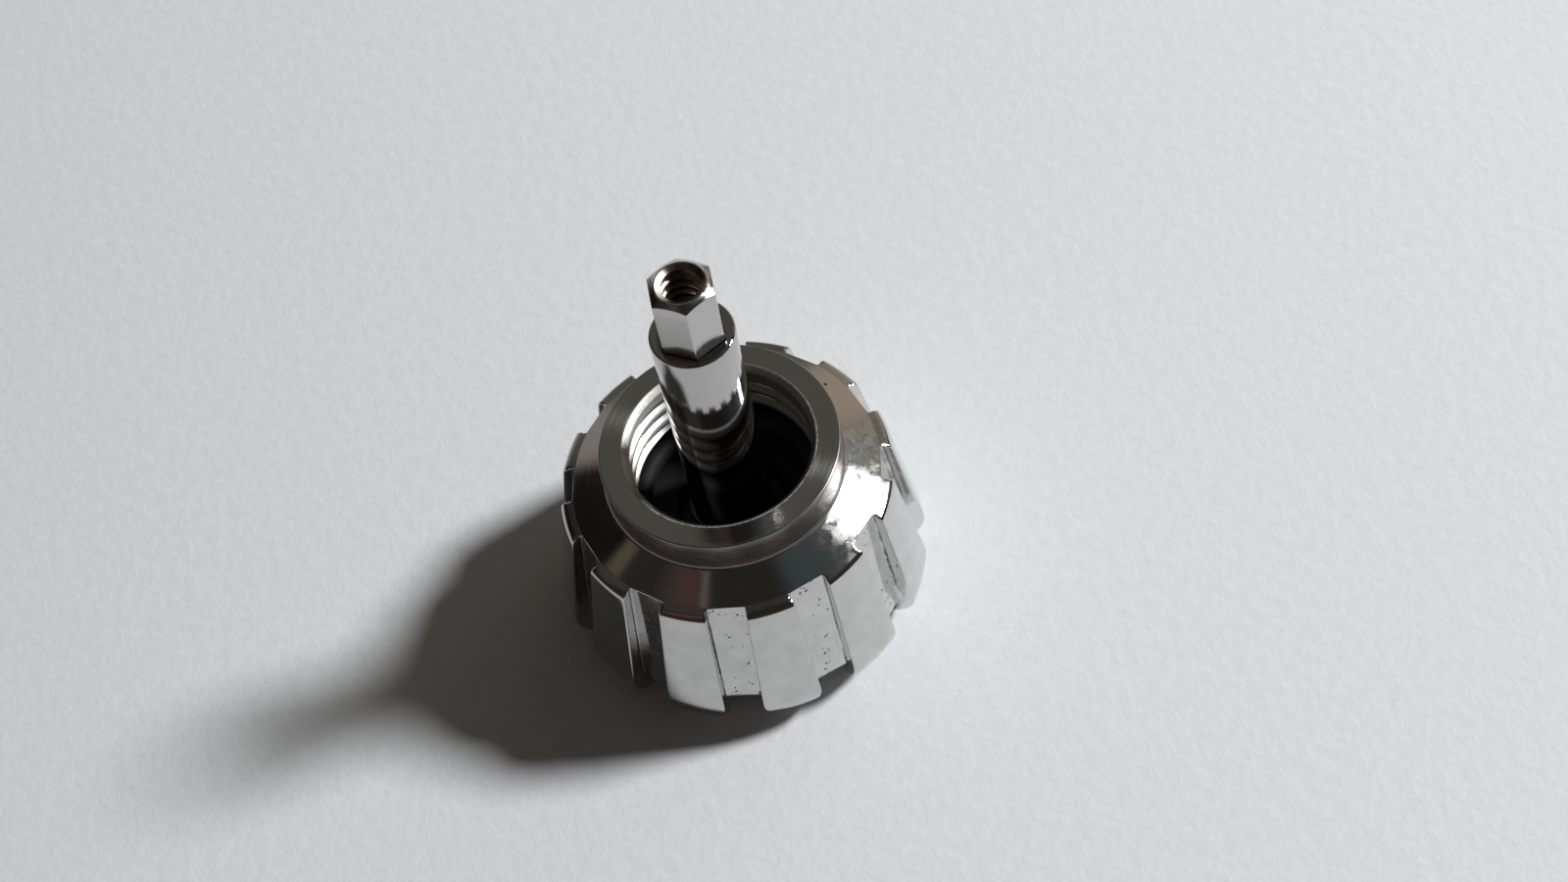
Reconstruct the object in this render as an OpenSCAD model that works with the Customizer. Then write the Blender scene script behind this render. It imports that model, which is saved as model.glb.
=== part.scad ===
// Screw-down watch crown with a spring-loaded hexagonal slider.
// It stands on its outer face: Z runs from that face up through the threaded skirt to the slider's tip.

/* [Head] */
// Widest diameter across the ridges
crown_d = 8; // [7:0.1:10]
// Height from the outer face to the rim
crown_h = 5.1; // [4.6:0.1:6]
// Slope of the flanks from the vertical, in degrees
flank_slope = 10; // [4:0.5:13]
// Radius that rounds the flanks into the outer face
corner_r = 1; // [0.6:0.05:1.1]
// Wall of the plain collar outside the thread bore
collar_wall = 0.6; // [0.35:0.05:0.7]
// Height of the collar above the foot of the shoulder
collar_h = 0.8; // [0.5:0.1:1.2]
// Slope of the shoulder below the horizontal, in degrees
shoulder_slope = 24; // [16:1:28]
// Slope of the ridges' top ends, which carry the shoulder on outward, in degrees
ridge_top_slope = 14; // [8:1:20]
// Radius of the fillet where the collar meets the shoulder
collar_fillet = 0.14; // [0.05:0.01:0.2]
// Radius of the collar's outer edge
rim_edge_r = 0.05; // [0.03:0.01:0.12]

/* [Ridges] */
// Number of ridges
ridge_count = 12; // [8:1:14]
// Width of each groove between its parallel walls
groove_w = 0.81; // [0.5:0.01:1]
// Depth of a groove below the ridges' outer edge at the shoulder
groove_top_depth = 0.27; // [0.15:0.01:0.4]
// Depth of a groove where the flank turns into the corner
groove_low_depth = 0.37; // [0.2:0.01:0.5]
// Height at which the groove's floor starts to turn under
groove_low_z = 0.95; // [0.9:0.05:1.2]
// Radius that turns a groove's floor under at its lower end
groove_end_r = 0.8; // [0.6:0.05:0.85]

/* [Skirt thread] */
// Diameter over the thread crests
thread_bore_d = 3.8; // [3.6:0.05:4.1]
// Thread pitch
thread_pitch = 0.4; // [0.35:0.05:0.5]
// Depth of the thread groove
thread_depth = 0.2; // [0.1:0.02:0.22]
// Depth of the thread's lower end below the rim
thread_run = 1.45; // [1:0.05:1.7]
// Height of the plain land between the thread's upper end and the rim
mouth_land = 0.3; // [0.2:0.05:0.4]
// Width of the chamfer at the mouth
mouth_chamfer = 0.11; // [0.02:0.01:0.15]
// How much wider than the thread bore the seal chamber below it is, all round
chamber_relief = 0.25; // [0.2:0.01:0.3]

/* [Core tube] */
// How much thicker the tube's foot is, all round, where it is pressed into the head
core_foot_step = 0.045; // [0.02:0.005:0.1]
// Height that the thicker foot shows above the flat gasket
core_foot_show = 0.05; // [0.03:0.01:0.1]
// Wall of the core tube beside its round bore
core_wall = 0.12; // [0.1:0.01:0.15]
// Height of the tube's end above the rim
core_rise = 3.79; // [3:0.1:4.5]
// Length of the tube pressed into the head
core_seat = 1.4; // [1:0.1:1.6]
// Thickness of the hexagonal window at the tube's end
window_h = 1.1; // [0.8:0.1:1.6]
// Radius of the tube's outer end edge
core_edge_r = 0.05; // [0.02:0.01:0.08]

/* [Slider] */
// Size of the slider's hexagon across its flats
hex_flats = 1.2; // [1.1:0.01:1.25]
// Turn of the hexagon against the ridges, in degrees
hex_turn = 24.6; // [0:0.1:60]
// Diameter of the flat face round the hole in the slider's tip
tip_face_d = 1; // [0.98:0.01:1.1]
// Slope of the hexagon's turned end below the horizontal, in degrees
tip_slope = 32; // [15:1:45]
// Distance that the slider can be pushed in
slider_travel = 1.1; // [0.8:0.1:1.3]
// Height at which the tip still stands out of the tube when the slider is pushed in
tip_clear = 0.41; // [0.2:0.01:0.6]
// Height of the stop collar below the hexagon
stop_h = 0.8; // [0.6:0.1:1.2]
// How much further out than the hexagon's corners the stop collar reaches
stop_reach = 0.017; // [0.01:0.001:0.05]
// Length of the slider's shank below the stop collar
shank_tail = 0.35; // [0.2:0.05:0.5]
// Diameter of the hole tapped for the winding stem
tap_d = 0.9; // [0.7:0.05:0.95]
// Depth of the tapped hole
tap_depth = 1.9; // [1.4:0.1:2.1]
// Width of the countersink at the tapped hole's mouth
tap_sink = 0.03; // [0.01:0.01:0.04]

/* [Spring] */
// Gap all round between the spring and the slider's shank, which centres it
spring_play = 0.08; // [0.05:0.01:0.15]
// Wire diameter
wire_d = 0.13; // [0.1:0.01:0.15]
// Number of turns
spring_turns = 11; // [8:1:14]
// Thickness of the hardened seat under the spring
seat_h = 0.15; // [0.1:0.01:0.2]
// Thickness of the thrust washer between the spring and the stop collar
thrust_h = 0.12; // [0.1:0.01:0.2]

/* [Seals] */
// Thickness of the steel washer under the flat gasket
backing_h = 0.12; // [0.1:0.01:0.2]
// Thickness of the flat gasket that the case tube's end meets
gasket_h = 0.5; // [0.4:0.05:0.6]
// Inner diameter of the flat gasket
gasket_bore_d = 2.3; // [2:0.1:2.6]
// Cord diameter of the ring that seals the case tube's wall
wall_ring_cord = 0.45; // [0.3:0.05:0.5]
// Free height between that ring and the cone above it
ring_room = 0.03; // [0.01:0.01:0.1]
// Cord diameter of the ring that seals the core tube's foot
foot_ring_cord = 0.28; // [0.2:0.02:0.35]

/* [Fits] */
// Gap all round between pieces that slide
slide_gap = 0.015; // [0.01:0.005:0.03]
// Gap all round between pieces that stay put
seat_gap = 0.01; // [0.005:0.005:0.02]

/* [Hidden] */
$fn = 96;

// Overshoot of a cutting shape past the face that it cuts
over = 0.2;

crown_r = crown_d / 2;
thread_bore_r = thread_bore_d / 2;
collar_r = thread_bore_r + collar_wall;
chamber_r = thread_bore_r + chamber_relief;
shoulder_z = crown_h - collar_h;
shoulder_drop = tan(shoulder_slope);
corner_x = crown_r - corner_r;
// The flank is the line that touches the corner's arc here
flank_low_x = corner_x + corner_r * cos(flank_slope);
flank_low_z = corner_r + corner_r * sin(flank_slope);
flank_lean = tan(flank_slope);
// The shoulder cone ends at the groove floors, and a flatter cone carries on over the ridges to their edge
ridge_top_drop = tan(ridge_top_slope);
flank_foot_x = flank_low_x + flank_low_z * flank_lean;
edge_z = (shoulder_z - (flank_foot_x - groove_top_depth - collar_r) * shoulder_drop
    - groove_top_depth * ridge_top_drop) / (1 - flank_lean * shoulder_drop);
edge_x = flank_foot_x - edge_z * flank_lean;
groove_top_r = edge_x - groove_top_depth;
shoulder_low_z = edge_z + groove_top_depth * ridge_top_drop;
groove_low_r = flank_low_x - groove_low_depth;
fillet_x = collar_r + collar_fillet;
fillet_z = shoulder_z - collar_fillet * shoulder_drop + collar_fillet / cos(shoulder_slope);
foot_x = fillet_x - collar_fillet * sin(shoulder_slope);
foot_z = fillet_z - collar_fillet * cos(shoulder_slope);

thread_low_z = crown_h - thread_run;
// A cone widens the bore into the chamber, which is as high as what is stacked in it
chamber_top_z = thread_low_z - chamber_relief;
floor_z = chamber_top_z - ring_room - wall_ring_cord - gasket_h - backing_h;

// The stop collar reaches past the hexagon and slides in the tube's bore, and the wall goes round that
hex_corner_r = hex_flats / sqrt(3);
stop_r = hex_corner_r + stop_reach;
core_bore_r = stop_r + slide_gap;
core_r = core_bore_r + core_wall;
core_foot_r = core_r + core_foot_step;
core_low_z = floor_z - core_seat;
core_top_z = crown_h + core_rise;
window_z = core_top_z - window_h;

tip_z = core_top_z + slider_travel + tip_clear;
tip_face_r = tip_face_d / 2;
stop_low_z = window_z - stop_h;
hex_h = tip_z - window_z;

wire_r = wire_d / 2;
coil_r = core_bore_r - slide_gap - wire_r;
shank_r = coil_r - wire_r - spring_play;
spring_low_z = core_low_z + seat_h;
spring_top_z = stop_low_z - thrust_h;
// Facets round the wire, and sections of the wire in one turn
spring_sides = 6;
spring_rings = 16;
// How much flatter the coil lies at its ends than the mean pitch
end_flattening = 0.6;

gasket_z = floor_z + backing_h;
gasket_top_z = gasket_z + gasket_h;
wall_ring_z = gasket_top_z + wall_ring_cord / 2;
core_foot_top_z = gasket_top_z + core_foot_show;
foot_ring_r = foot_ring_cord / 2;
foot_groove_r = core_foot_r + foot_ring_cord + seat_gap;

// Sections of the thread groove in one turn
thread_rings = 24;
// The thread groove starts in the seal chamber and fades out below the mouth over these last sections
fade_steps = 8;
// Sections of fading depth that are left over at the very end
fade_left = 0.5;
thread_start_z = thread_low_z - thread_pitch;
thread_steps = floor((crown_h - mouth_land - thread_start_z) / thread_pitch * thread_rings);
// Half the width of the groove's floor
thread_root_w = thread_pitch / 16;
// Angle of the groove's flanks, in degrees
thread_flank = 30;
// Overshoot of the groove's section into the bore, small enough that its turns stay apart
thread_over = 0.08;
// Facets of a small edge or a round cord
edge_facets = 32;

// A ring of rectangular section between two radii, from low to high
module washer(low, high, inner, outer) {
    translate([0, 0, low])
        difference() {
            cylinder(r = outer, h = high - low);
            translate([0, 0, -over]) cylinder(r = inner, h = high - low + 2 * over);
        }
}

// A ring of round cord whose centre line has the given radius
module cord_ring(ring_r, cord_r, z) {
    translate([0, 0, z])
        rotate_extrude() translate([ring_r, 0]) circle(r = cord_r, $fn = edge_facets);
}

// Outline of the barrel and the collar, with a fillet that touches the collar's wall and the shoulder cone
module outer_section() {
    difference() {
        union() {
            translate([corner_x, corner_r]) circle(r = corner_r);
            polygon([[0, 0], [corner_x, 0], [corner_x, corner_r], [flank_low_x, flank_low_z],
                [edge_x, edge_z], [groove_top_r, shoulder_low_z], [foot_x, foot_z], [fillet_x, fillet_z],
                [collar_r, fillet_z],
                [collar_r, crown_h - rim_edge_r], [collar_r - rim_edge_r, crown_h], [0, crown_h]]);
            translate([collar_r - rim_edge_r, crown_h - rim_edge_r])
                circle(r = rim_edge_r, $fn = edge_facets);
        }
        translate([fillet_x, fillet_z]) circle(r = collar_fillet, $fn = edge_facets);
    }
}

// Outline of everything hollow in the head: mouth, thread bore, seal chamber, ring groove and tube socket
module hollow_section() {
    polygon([[0, crown_h + over], [thread_bore_r + mouth_chamfer + over, crown_h + over],
        [thread_bore_r, crown_h - mouth_chamfer], [thread_bore_r, thread_low_z],
        [chamber_r, chamber_top_z], [chamber_r, floor_z],
        [foot_groove_r, floor_z], [foot_groove_r, floor_z - foot_ring_cord],
        [core_foot_r + seat_gap, floor_z - foot_ring_cord], [core_foot_r + seat_gap, core_low_z],
        [0, core_low_z]]);
}

// Outline of what one groove leaves standing, seen along the groove's walls
module groove_floor_section() {
    polygon([[0, groove_low_z], [groove_low_r, groove_low_z], [groove_top_r, shoulder_low_z],
        [groove_top_r, shoulder_z], [0, shoulder_z]]);
    intersection() {
        translate([groove_low_r - groove_end_r, groove_low_z]) circle(r = groove_end_r);
        translate([0, -over]) square([crown_r, groove_low_z + over]);
    }
    translate([0, -over]) square([groove_low_r - groove_end_r, groove_low_z + over]);
}

module groove_cut() {
    rotate([90, 0, 0])
        linear_extrude(height = groove_w, center = true)
            difference() {
                translate([collar_r + over, -over]) square([crown_r, shoulder_z + over]);
                groove_floor_section();
            }
}

// The thread groove is a V with a narrow floor that winds up the bore: each ring is one section across it
function thread_ring(i) =
    let (a = 360 * i / thread_rings,
         z = thread_start_z + thread_pitch * i / thread_rings,
         depth = thread_depth * min(1, (thread_steps - i + fade_left) / fade_steps),
         mouth_w = thread_root_w + (depth + thread_over) * tan(thread_flank),
         inner = thread_bore_r - thread_over,
         root = thread_bore_r + depth)
    [for (p = [[inner, -mouth_w], [root, -thread_root_w], [root, thread_root_w], [inner, mouth_w]])
        [p[0] * cos(a), p[0] * sin(a), z + p[1]]];

// A closed tube through rings of points: every ring joins the next, and a cap closes each end
module swept_rings(rings) {
    sides = len(rings[0]);
    last = len(rings) - 1;
    polyhedron(
        points = [for (ring = rings) for (p = ring) p],
        faces = concat(
            [[for (k = [sides - 1:-1:0]) k]],
            [for (i = [0:last - 1]) for (k = [0:sides - 1]) for (half = [0:1])
                let (a = i * sides + k, b = i * sides + (k + 1) % sides)
                half == 0 ? [a, b, a + sides] : [b, b + sides, a + sides]],
            [[for (k = [0:sides - 1]) last * sides + k]]));
}

module thread_cut() {
    swept_rings([for (i = [0:thread_steps]) thread_ring(i)]);
}

// One ring of points round the spring's wire, at a share t of its length. It climbs slower at both ends
function coil_ring(t) =
    let (a = 360 * spring_turns * t,
         rise = spring_top_z - spring_low_z - wire_d,
         z = spring_low_z + wire_r + rise * (t - end_flattening * sin(360 * t) / 360 * 180 / PI))
    [for (k = [0:spring_sides - 1])
        let (b = 360 * k / spring_sides, r = coil_r + wire_r * cos(b))
        [r * cos(a), r * sin(a), z + wire_r * sin(b)]];

module crown_head() {
    color("silver")
        difference() {
            rotate_extrude() outer_section();
            for (i = [0:ridge_count - 1]) rotate(360 * (i + 0.5) / ridge_count) groove_cut();
            rotate_extrude() hollow_section();
            thread_cut();
        }
}

module core_tube() {
    color("gainsboro")
        difference() {
            rotate_extrude() {
                translate([0, core_low_z]) square([core_foot_r, core_foot_top_z - core_low_z]);
                translate([0, core_low_z]) square([core_r, core_top_z - core_edge_r - core_low_z]);
                translate([0, core_low_z]) square([core_r - core_edge_r, core_top_z - core_low_z]);
                translate([core_r - core_edge_r, core_top_z - core_edge_r])
                    circle(r = core_edge_r, $fn = edge_facets);
            }
            translate([0, 0, core_low_z - over])
                cylinder(r = core_bore_r, h = window_z - core_low_z + over);
            rotate(hex_turn)
                cylinder(r = hex_corner_r + slide_gap * 2 / sqrt(3), h = core_top_z + over, $fn = 6);
        }
}

module core_foot_ring() {
    color("#202020")
        cord_ring(core_foot_r + seat_gap + foot_ring_r, foot_ring_r - seat_gap, floor_z - foot_ring_r);
}

module spring_seat() {
    color("dimgray")
        translate([0, 0, core_low_z]) cylinder(r = core_bore_r - seat_gap, h = seat_h);
}

module return_spring() {
    steps = spring_turns * spring_rings;
    color("lightsteelblue") swept_rings([for (i = [0:steps]) coil_ring(i / steps)]);
}

module thrust_washer() {
    color("dimgray")
        washer(spring_top_z, stop_low_z, shank_r + seat_gap, stop_r);
}

module stop_collar() {
    color("lightgray") washer(stop_low_z, window_z, shank_r + seat_gap, stop_r);
}

module hex_slider() {
    color("whitesmoke")
        difference() {
            union() {
                rotate(hex_turn)
                    intersection() {
                        translate([0, 0, window_z]) cylinder(r = hex_corner_r, h = hex_h, $fn = 6);
                        // The bar's end is turned to a flat cone, which takes the corners down
                        translate([0, 0, window_z])
                            cylinder(r1 = tip_face_r + hex_h / tan(tip_slope), r2 = tip_face_r, h = hex_h);
                    }
                translate([0, 0, stop_low_z - shank_tail])
                    cylinder(r = shank_r, h = window_z - stop_low_z + shank_tail);
            }
            translate([0, 0, tip_z - tap_depth]) cylinder(r = tap_d / 2, h = tap_depth + over);
            translate([0, 0, tip_z - tap_sink])
                cylinder(r1 = tap_d / 2, r2 = tap_d / 2 + tap_sink + over, h = tap_sink + over);
        }
}

module backing_washer() {
    color("silver") washer(floor_z, gasket_z, core_foot_r + seat_gap, chamber_r - seat_gap);
}

module flat_gasket() {
    color("#181818") washer(gasket_z, gasket_top_z, gasket_bore_d / 2, chamber_r - seat_gap);
}

module wall_ring() {
    color("#202020")
        cord_ring(chamber_r - seat_gap - wall_ring_cord / 2, wall_ring_cord / 2, wall_ring_z);
}

crown_head();
core_tube();
core_foot_ring();
spring_seat();
return_spring();
thrust_washer();
stop_collar();
hex_slider();
backing_washer();
flat_gasket();
wall_ring();
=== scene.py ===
# %% [markdown]
# # A screw-down watch crown, standing on its outer face
#
# The crown was built first as exact solids, and that model is the frame here. This notebook gives each
# piece the surface that the real one has: milled ridges with softly broken edges, a cut thread, polished
# and turned steel, black rubber. Every piece stays in the place that its solid holds, so nothing has to
# be fitted.

# %% Load the frame and keep its size
import math

import bmesh
import bpy
import numpy as np
from mathutils import Matrix


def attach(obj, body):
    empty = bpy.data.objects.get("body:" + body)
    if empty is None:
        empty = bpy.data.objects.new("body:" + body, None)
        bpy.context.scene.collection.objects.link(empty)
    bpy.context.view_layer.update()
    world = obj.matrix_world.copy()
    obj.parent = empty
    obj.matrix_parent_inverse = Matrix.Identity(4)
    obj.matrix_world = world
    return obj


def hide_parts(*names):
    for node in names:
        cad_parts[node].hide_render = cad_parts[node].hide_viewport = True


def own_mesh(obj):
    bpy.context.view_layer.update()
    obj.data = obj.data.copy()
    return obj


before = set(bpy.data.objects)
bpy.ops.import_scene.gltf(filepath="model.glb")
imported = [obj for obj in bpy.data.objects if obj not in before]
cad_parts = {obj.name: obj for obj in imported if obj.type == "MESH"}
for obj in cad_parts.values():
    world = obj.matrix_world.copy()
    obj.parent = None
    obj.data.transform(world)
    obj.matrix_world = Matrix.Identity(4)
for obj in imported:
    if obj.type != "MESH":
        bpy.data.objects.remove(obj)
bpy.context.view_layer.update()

# %% [markdown]
# ## From numbers to a mesh
#
# A watchmaker thinks in millimetres and Blender in metres, so each shape is worked out in millimetres and
# scaled once, where it becomes a mesh. Almost every surface below is a grid: rows follow the piece's
# outline and columns go round its axis. Writing the grid as whole arrays keeps it quick, and because the
# outline is known exactly, edges can be rounded by a chosen radius instead of being bevelled afterwards
# by guess.

# %% Grid helpers
MM = 0.001
WELD = 1e-7
SHARP = math.radians(38)


def grid_faces(rows, cols, first=0, closed=False):
    """Quads between neighbours of a grid whose columns go round the axis. A closed grid also joins its
    last row to its first."""
    row = np.arange(rows if closed else rows - 1)[:, None]
    col = np.arange(cols)[None, :]
    up, right = (row + 1) % rows, (col + 1) % cols
    quads = np.stack([row * cols + col, row * cols + right, up * cols + right, up * cols + col], axis=-1)
    return quads.reshape(-1, 4) + first


def stitch(lower, upper, first_lower, first_upper):
    """Triangles between two rings with different numbers of points, given the points' angles.

    All the points are sorted by angle. Each one in turn makes a triangle with the next point of its own
    ring and the last point passed on the other ring.
    """
    n, m = len(lower), len(upper)
    angle = np.concatenate([lower, upper])
    order = np.argsort(angle, kind="stable")
    is_lower = order < n
    seen_lower, seen_upper = np.cumsum(is_lower), np.cumsum(~is_lower)
    a, b = (seen_lower - 1) % n, (seen_upper - 1) % m
    on_lower = np.stack([(a - 1) % n + first_lower, a + first_lower, b + first_upper], axis=-1)
    on_upper = np.stack([a + first_lower, b + first_upper, (b - 1) % m + first_upper], axis=-1)
    return np.where(is_lower[:, None], on_lower, on_upper)


def stacked(*grids):
    """The points of several grids one after the other, and the number of each grid's first point."""
    blocks = [grid.reshape(-1, 3) for grid in grids]
    return np.concatenate(blocks), np.cumsum([0] + [len(block) for block in blocks[:-1]])


def into_scene(name, data):
    """Makes an object of a mesh, a camera or a lamp and puts it into the scene."""
    made = bpy.data.objects.new(name, data)
    bpy.context.scene.collection.objects.link(made)
    return made


def make_piece(name, points, faces, marks=None):
    """A mesh object from points in millimetres and lists of faces. Points that coincide are welded, which
    turns a ring of radius nought into a pole. marks are named numbers per point, for the materials to
    read."""
    mesh = bpy.data.meshes.new(name)
    places = (points.reshape(-1, 3) * MM).tolist()
    mesh.from_pydata(places, [], [face for block in faces for face in block.tolist()])
    for label, values in (marks or {}).items():
        mesh.attributes.new(label, "FLOAT", "POINT").data.foreach_set("value", values.astype(np.float32))
    work = bmesh.new()
    work.from_mesh(mesh)
    bmesh.ops.remove_doubles(work, verts=work.verts, dist=WELD)
    bmesh.ops.recalc_face_normals(work, faces=work.faces)
    work.to_mesh(mesh)
    work.free()
    mesh.shade_smooth()
    mesh.set_sharp_from_angle(angle=SHARP)
    piece = into_scene(name, mesh)
    weighted = piece.modifiers.new("Flat faces stay flat", "WEIGHTED_NORMAL")
    weighted.keep_sharp = True
    print(name, len(mesh.vertices), "points", len(mesh.polygons), "faces")
    return piece


def arc(centre_r, centre_z, radius, start, end, steps):
    """Points on part of a circle in the (radius, height) plane, from one angle to another, in degrees."""
    a = np.radians(np.linspace(start, end, steps))
    return np.stack([centre_r + radius * np.cos(a), centre_z + radius * np.sin(a)], axis=-1)


def low_edge(r, z, radius, steps=4):
    """The rounded edge from an underside at height z to the outer wall at radius r."""
    return arc(r - radius, z + radius, radius, -90, 0, steps)


def top_edge(r, z, radius, steps=4):
    """The rounded edge from the outer wall at radius r to a top at height z."""
    return arc(r - radius, z - radius, radius, 0, 90, steps)


def line(start, end, steps, last=True):
    """Evenly spaced points from start to end. The last one is left out where the next stretch begins with
    it."""
    t = np.linspace(0, 1, steps, endpoint=last)[:, None]
    return np.array(start) * (1 - t) + np.array(end) * t


def all_round(steps):
    """Angles evenly spaced round the axis."""
    return np.linspace(0, 2 * math.pi, steps, endpoint=False)


def about(r, angles, z):
    """Points from their distance to the axis, angle and height: x = r cos a, y = r sin a, z stays."""
    return np.stack(np.broadcast_arrays(r * np.cos(angles), r * np.sin(angles), z), axis=-1)


def turn(outline, angles):
    """Turns an outline of (radius, height) points about the axis."""
    return about(outline[:, :1], angles, outline[:, 1:])


def rounded(corners, steps=4):
    """A closed outline whose corners, given as (radius, height, rounding), are replaced by arcs.

    At each corner the two sides are cut back by rounding * tan(turn / 2), and the arc's centre lies on
    the line that halves the corner.
    """
    spec = np.array(corners, float)
    p, cut = spec[:, :2], spec[:, 2]
    back, ahead = np.roll(p, 1, axis=0) - p, np.roll(p, -1, axis=0) - p
    back /= np.linalg.norm(back, axis=1, keepdims=True)
    ahead /= np.linalg.norm(ahead, axis=1, keepdims=True)
    half = np.arccos(np.clip((back * ahead).sum(1), -1, 1)) / 2
    bisector = back + ahead
    bisector /= np.linalg.norm(bisector, axis=1, keepdims=True)
    centre = p + bisector * (cut / np.sin(half))[:, None]
    start = p + back * (cut / np.tan(half))[:, None] - centre
    end = p + ahead * (cut / np.tan(half))[:, None] - centre
    sweep = (math.pi - 2 * half)[:, None, None]
    t = np.linspace(0, 1, steps)[None, :, None]
    blend = np.sin((1 - t) * sweep) * start[:, None] + np.sin(t * sweep) * end[:, None]
    return (centre[:, None] + blend / np.sin(sweep)).reshape(-1, 2)


def ring_piece(name, outline, columns=128):
    """A piece whose closed outline goes round the axis, such as a washer or a ring of rubber."""
    grid = turn(outline, all_round(columns))
    return make_piece(name, grid, [grid_faces(len(outline), columns, closed=True)])


# %% [markdown]
# ## The camera
#
# The camera comes early, because every later choice is judged through it. It stands where the photograph
# was taken from: above and in front, 45 mm from the middle of the crown, rolled a little to the left. The
# place was worked out from the outlines of the rim, the shoulder's foot and the tube. Three turns build
# it: the tilt down, a small correction of the aim, and the roll about the line of sight.

# %% Camera
def turned(vector, axis, angle):
    """The vector turned about a unit axis: its part along the axis stays, and the rest goes round by the
    angle."""
    along = axis * (vector @ axis)
    return along + (vector - along) * math.cos(angle) + np.cross(axis, vector) * math.sin(angle)


elevation, roll, pan, tilt = 0.964, 0.240, -0.029, -0.005
distance, aim_height, ridge_phase = 45.0, 5.0, math.radians(3.4)
place = np.array([0, -distance * math.cos(elevation), distance * math.sin(elevation) + aim_height])
forward = np.array([0, math.cos(elevation), -math.sin(elevation)])
right = np.array([1.0, 0, 0])
up = np.cross(right, forward)
forward, right = turned(forward, up, pan), turned(right, up, pan)
forward, up = turned(forward, right, tilt), turned(up, right, tilt)
right, up = turned(right, forward, roll), turned(up, forward, roll)
z_axis = np.array([0, 0, 1.0])
place, forward, right, up = (turned(v, z_axis, -ridge_phase) for v in (place, forward, right, up))

view = bpy.data.cameras.new("photo_view")
view.sensor_width, view.lens, view.clip_start, view.clip_end = 36, 50.55, 0.001, 10
camera = into_scene("photo_view", view)
pose = np.identity(4)
pose[:3] = np.stack([right, up, -forward, place * MM], axis=1)
camera.matrix_world = Matrix(pose.tolist())
bpy.context.scene.camera = camera
print("camera at", place.round(2), "mm")

# %% [markdown]
# ## The ridged head, from the outer face to the shoulder
#
# On the real crown the barrel is turned first and twelve grooves are milled into it afterwards, so the
# walls of a groove are parallel and its floor is flat. The surface is built the same way, as a stack of
# level sections. Each section is a circle with twelve notches: a flat floor, a small radius in the corner
# where the cutter's tooth was worn, a straight wall, and a softly polished edge onto the ridge. A section
# needs four numbers, the circle's radius, the floor's distance from the axis, the edge radius and the
# height, and they all follow from the barrel's outline. Where a section's circle is smaller than the
# floor's distance the notch vanishes, so the same formula carries on across the shoulder.

# %% Sizes of the head, in millimetres
CROWN_R, CROWN_H, CORNER_R = 4.0, 5.1, 1.0
FLANK, SHOULDER, RIDGE_TOP = np.radians([10, 24, 14])
COLLAR_R, COLLAR_H, COLLAR_FILLET, RIM_EDGE = 2.5, 0.8, 0.09, 0.035
RIDGES, GROOVE_W, GROOVE_TOP_DEPTH, GROOVE_LOW_DEPTH = 12, 0.81, 0.27, 0.37
GROOVE_LOW_Z, GROOVE_END_R = 0.95, 0.8
EDGE_ROUND, EDGE_ROUND_LOW, CORNER_ROUND, TOP_BREAK, TOP_ROUND = 0.035, 0.11, 0.045, 0.035, 0.2

shoulder_z = CROWN_H - COLLAR_H
flat_r = CROWN_R - CORNER_R
flank_r, flank_z = flat_r + CORNER_R * math.cos(FLANK), CORNER_R * (1 + math.sin(FLANK))
lean, drop, top_drop = math.tan(FLANK), math.tan(SHOULDER), math.tan(RIDGE_TOP)
flank_foot = flank_r + flank_z * lean
fall = (flank_foot - GROOVE_TOP_DEPTH - COLLAR_R) * drop + GROOVE_TOP_DEPTH * top_drop
edge_z = (shoulder_z - fall) / (1 - lean * drop)
edge_r = flank_foot - edge_z * lean
groove_top_r, groove_low_r = edge_r - GROOVE_TOP_DEPTH, flank_r - GROOVE_LOW_DEPTH
ridge_top_z = edge_z + GROOVE_TOP_DEPTH * top_drop
print("ridge edge at r %.3f z %.3f" % (edge_r, edge_z))
print("groove floor from r %.3f to %.3f" % (groove_low_r, groove_top_r))


# %% Where a groove's floor lies, and how far an edge is rounded off
def floor_distance(z):
    """Distance from the axis to a groove's floor at a height: a straight line up to the shoulder, and
    below it a quarter circle that turns the floor under."""
    slant = (groove_top_r - groove_low_r) / (ridge_top_z - GROOVE_LOW_Z)
    straight = groove_low_r + slant * (z - GROOVE_LOW_Z)
    under = np.sqrt(np.maximum(GROOVE_END_R**2 - np.clip(GROOVE_LOW_Z - z, 0, GROOVE_END_R) ** 2, 0))
    return np.where(z < GROOVE_LOW_Z, groove_low_r - GROOVE_END_R + under, straight)


def round_off(depth, radius):
    """How far a rounded edge stands back from its sharp corner, at a depth below the top face. The edge
    is a quarter circle, so this is radius - sqrt(radius^2 - (radius - depth)^2)."""
    short = np.clip(radius - depth, 0, radius)
    return radius - np.sqrt(radius**2 - short**2)


def cone_height(r):
    """Height of the head's top at a radius: the shoulder cone, and outside the groove floors the flatter
    ridge tops."""
    shoulder_cone = ridge_top_z + (groove_top_r - r) * drop
    ridge_tops = ridge_top_z - (r - groove_top_r) * top_drop
    return np.where(r < groove_top_r, shoulder_cone, ridge_tops)


# %% The outline of the barrel
# Rows at these distances from the groove floors' radius, closest where the ridge tops meet the shoulder
STEP_ROWS = np.array([0.02, 0.008, -0.004, -0.014, -0.024, -0.036, -0.06, -0.1])


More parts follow.
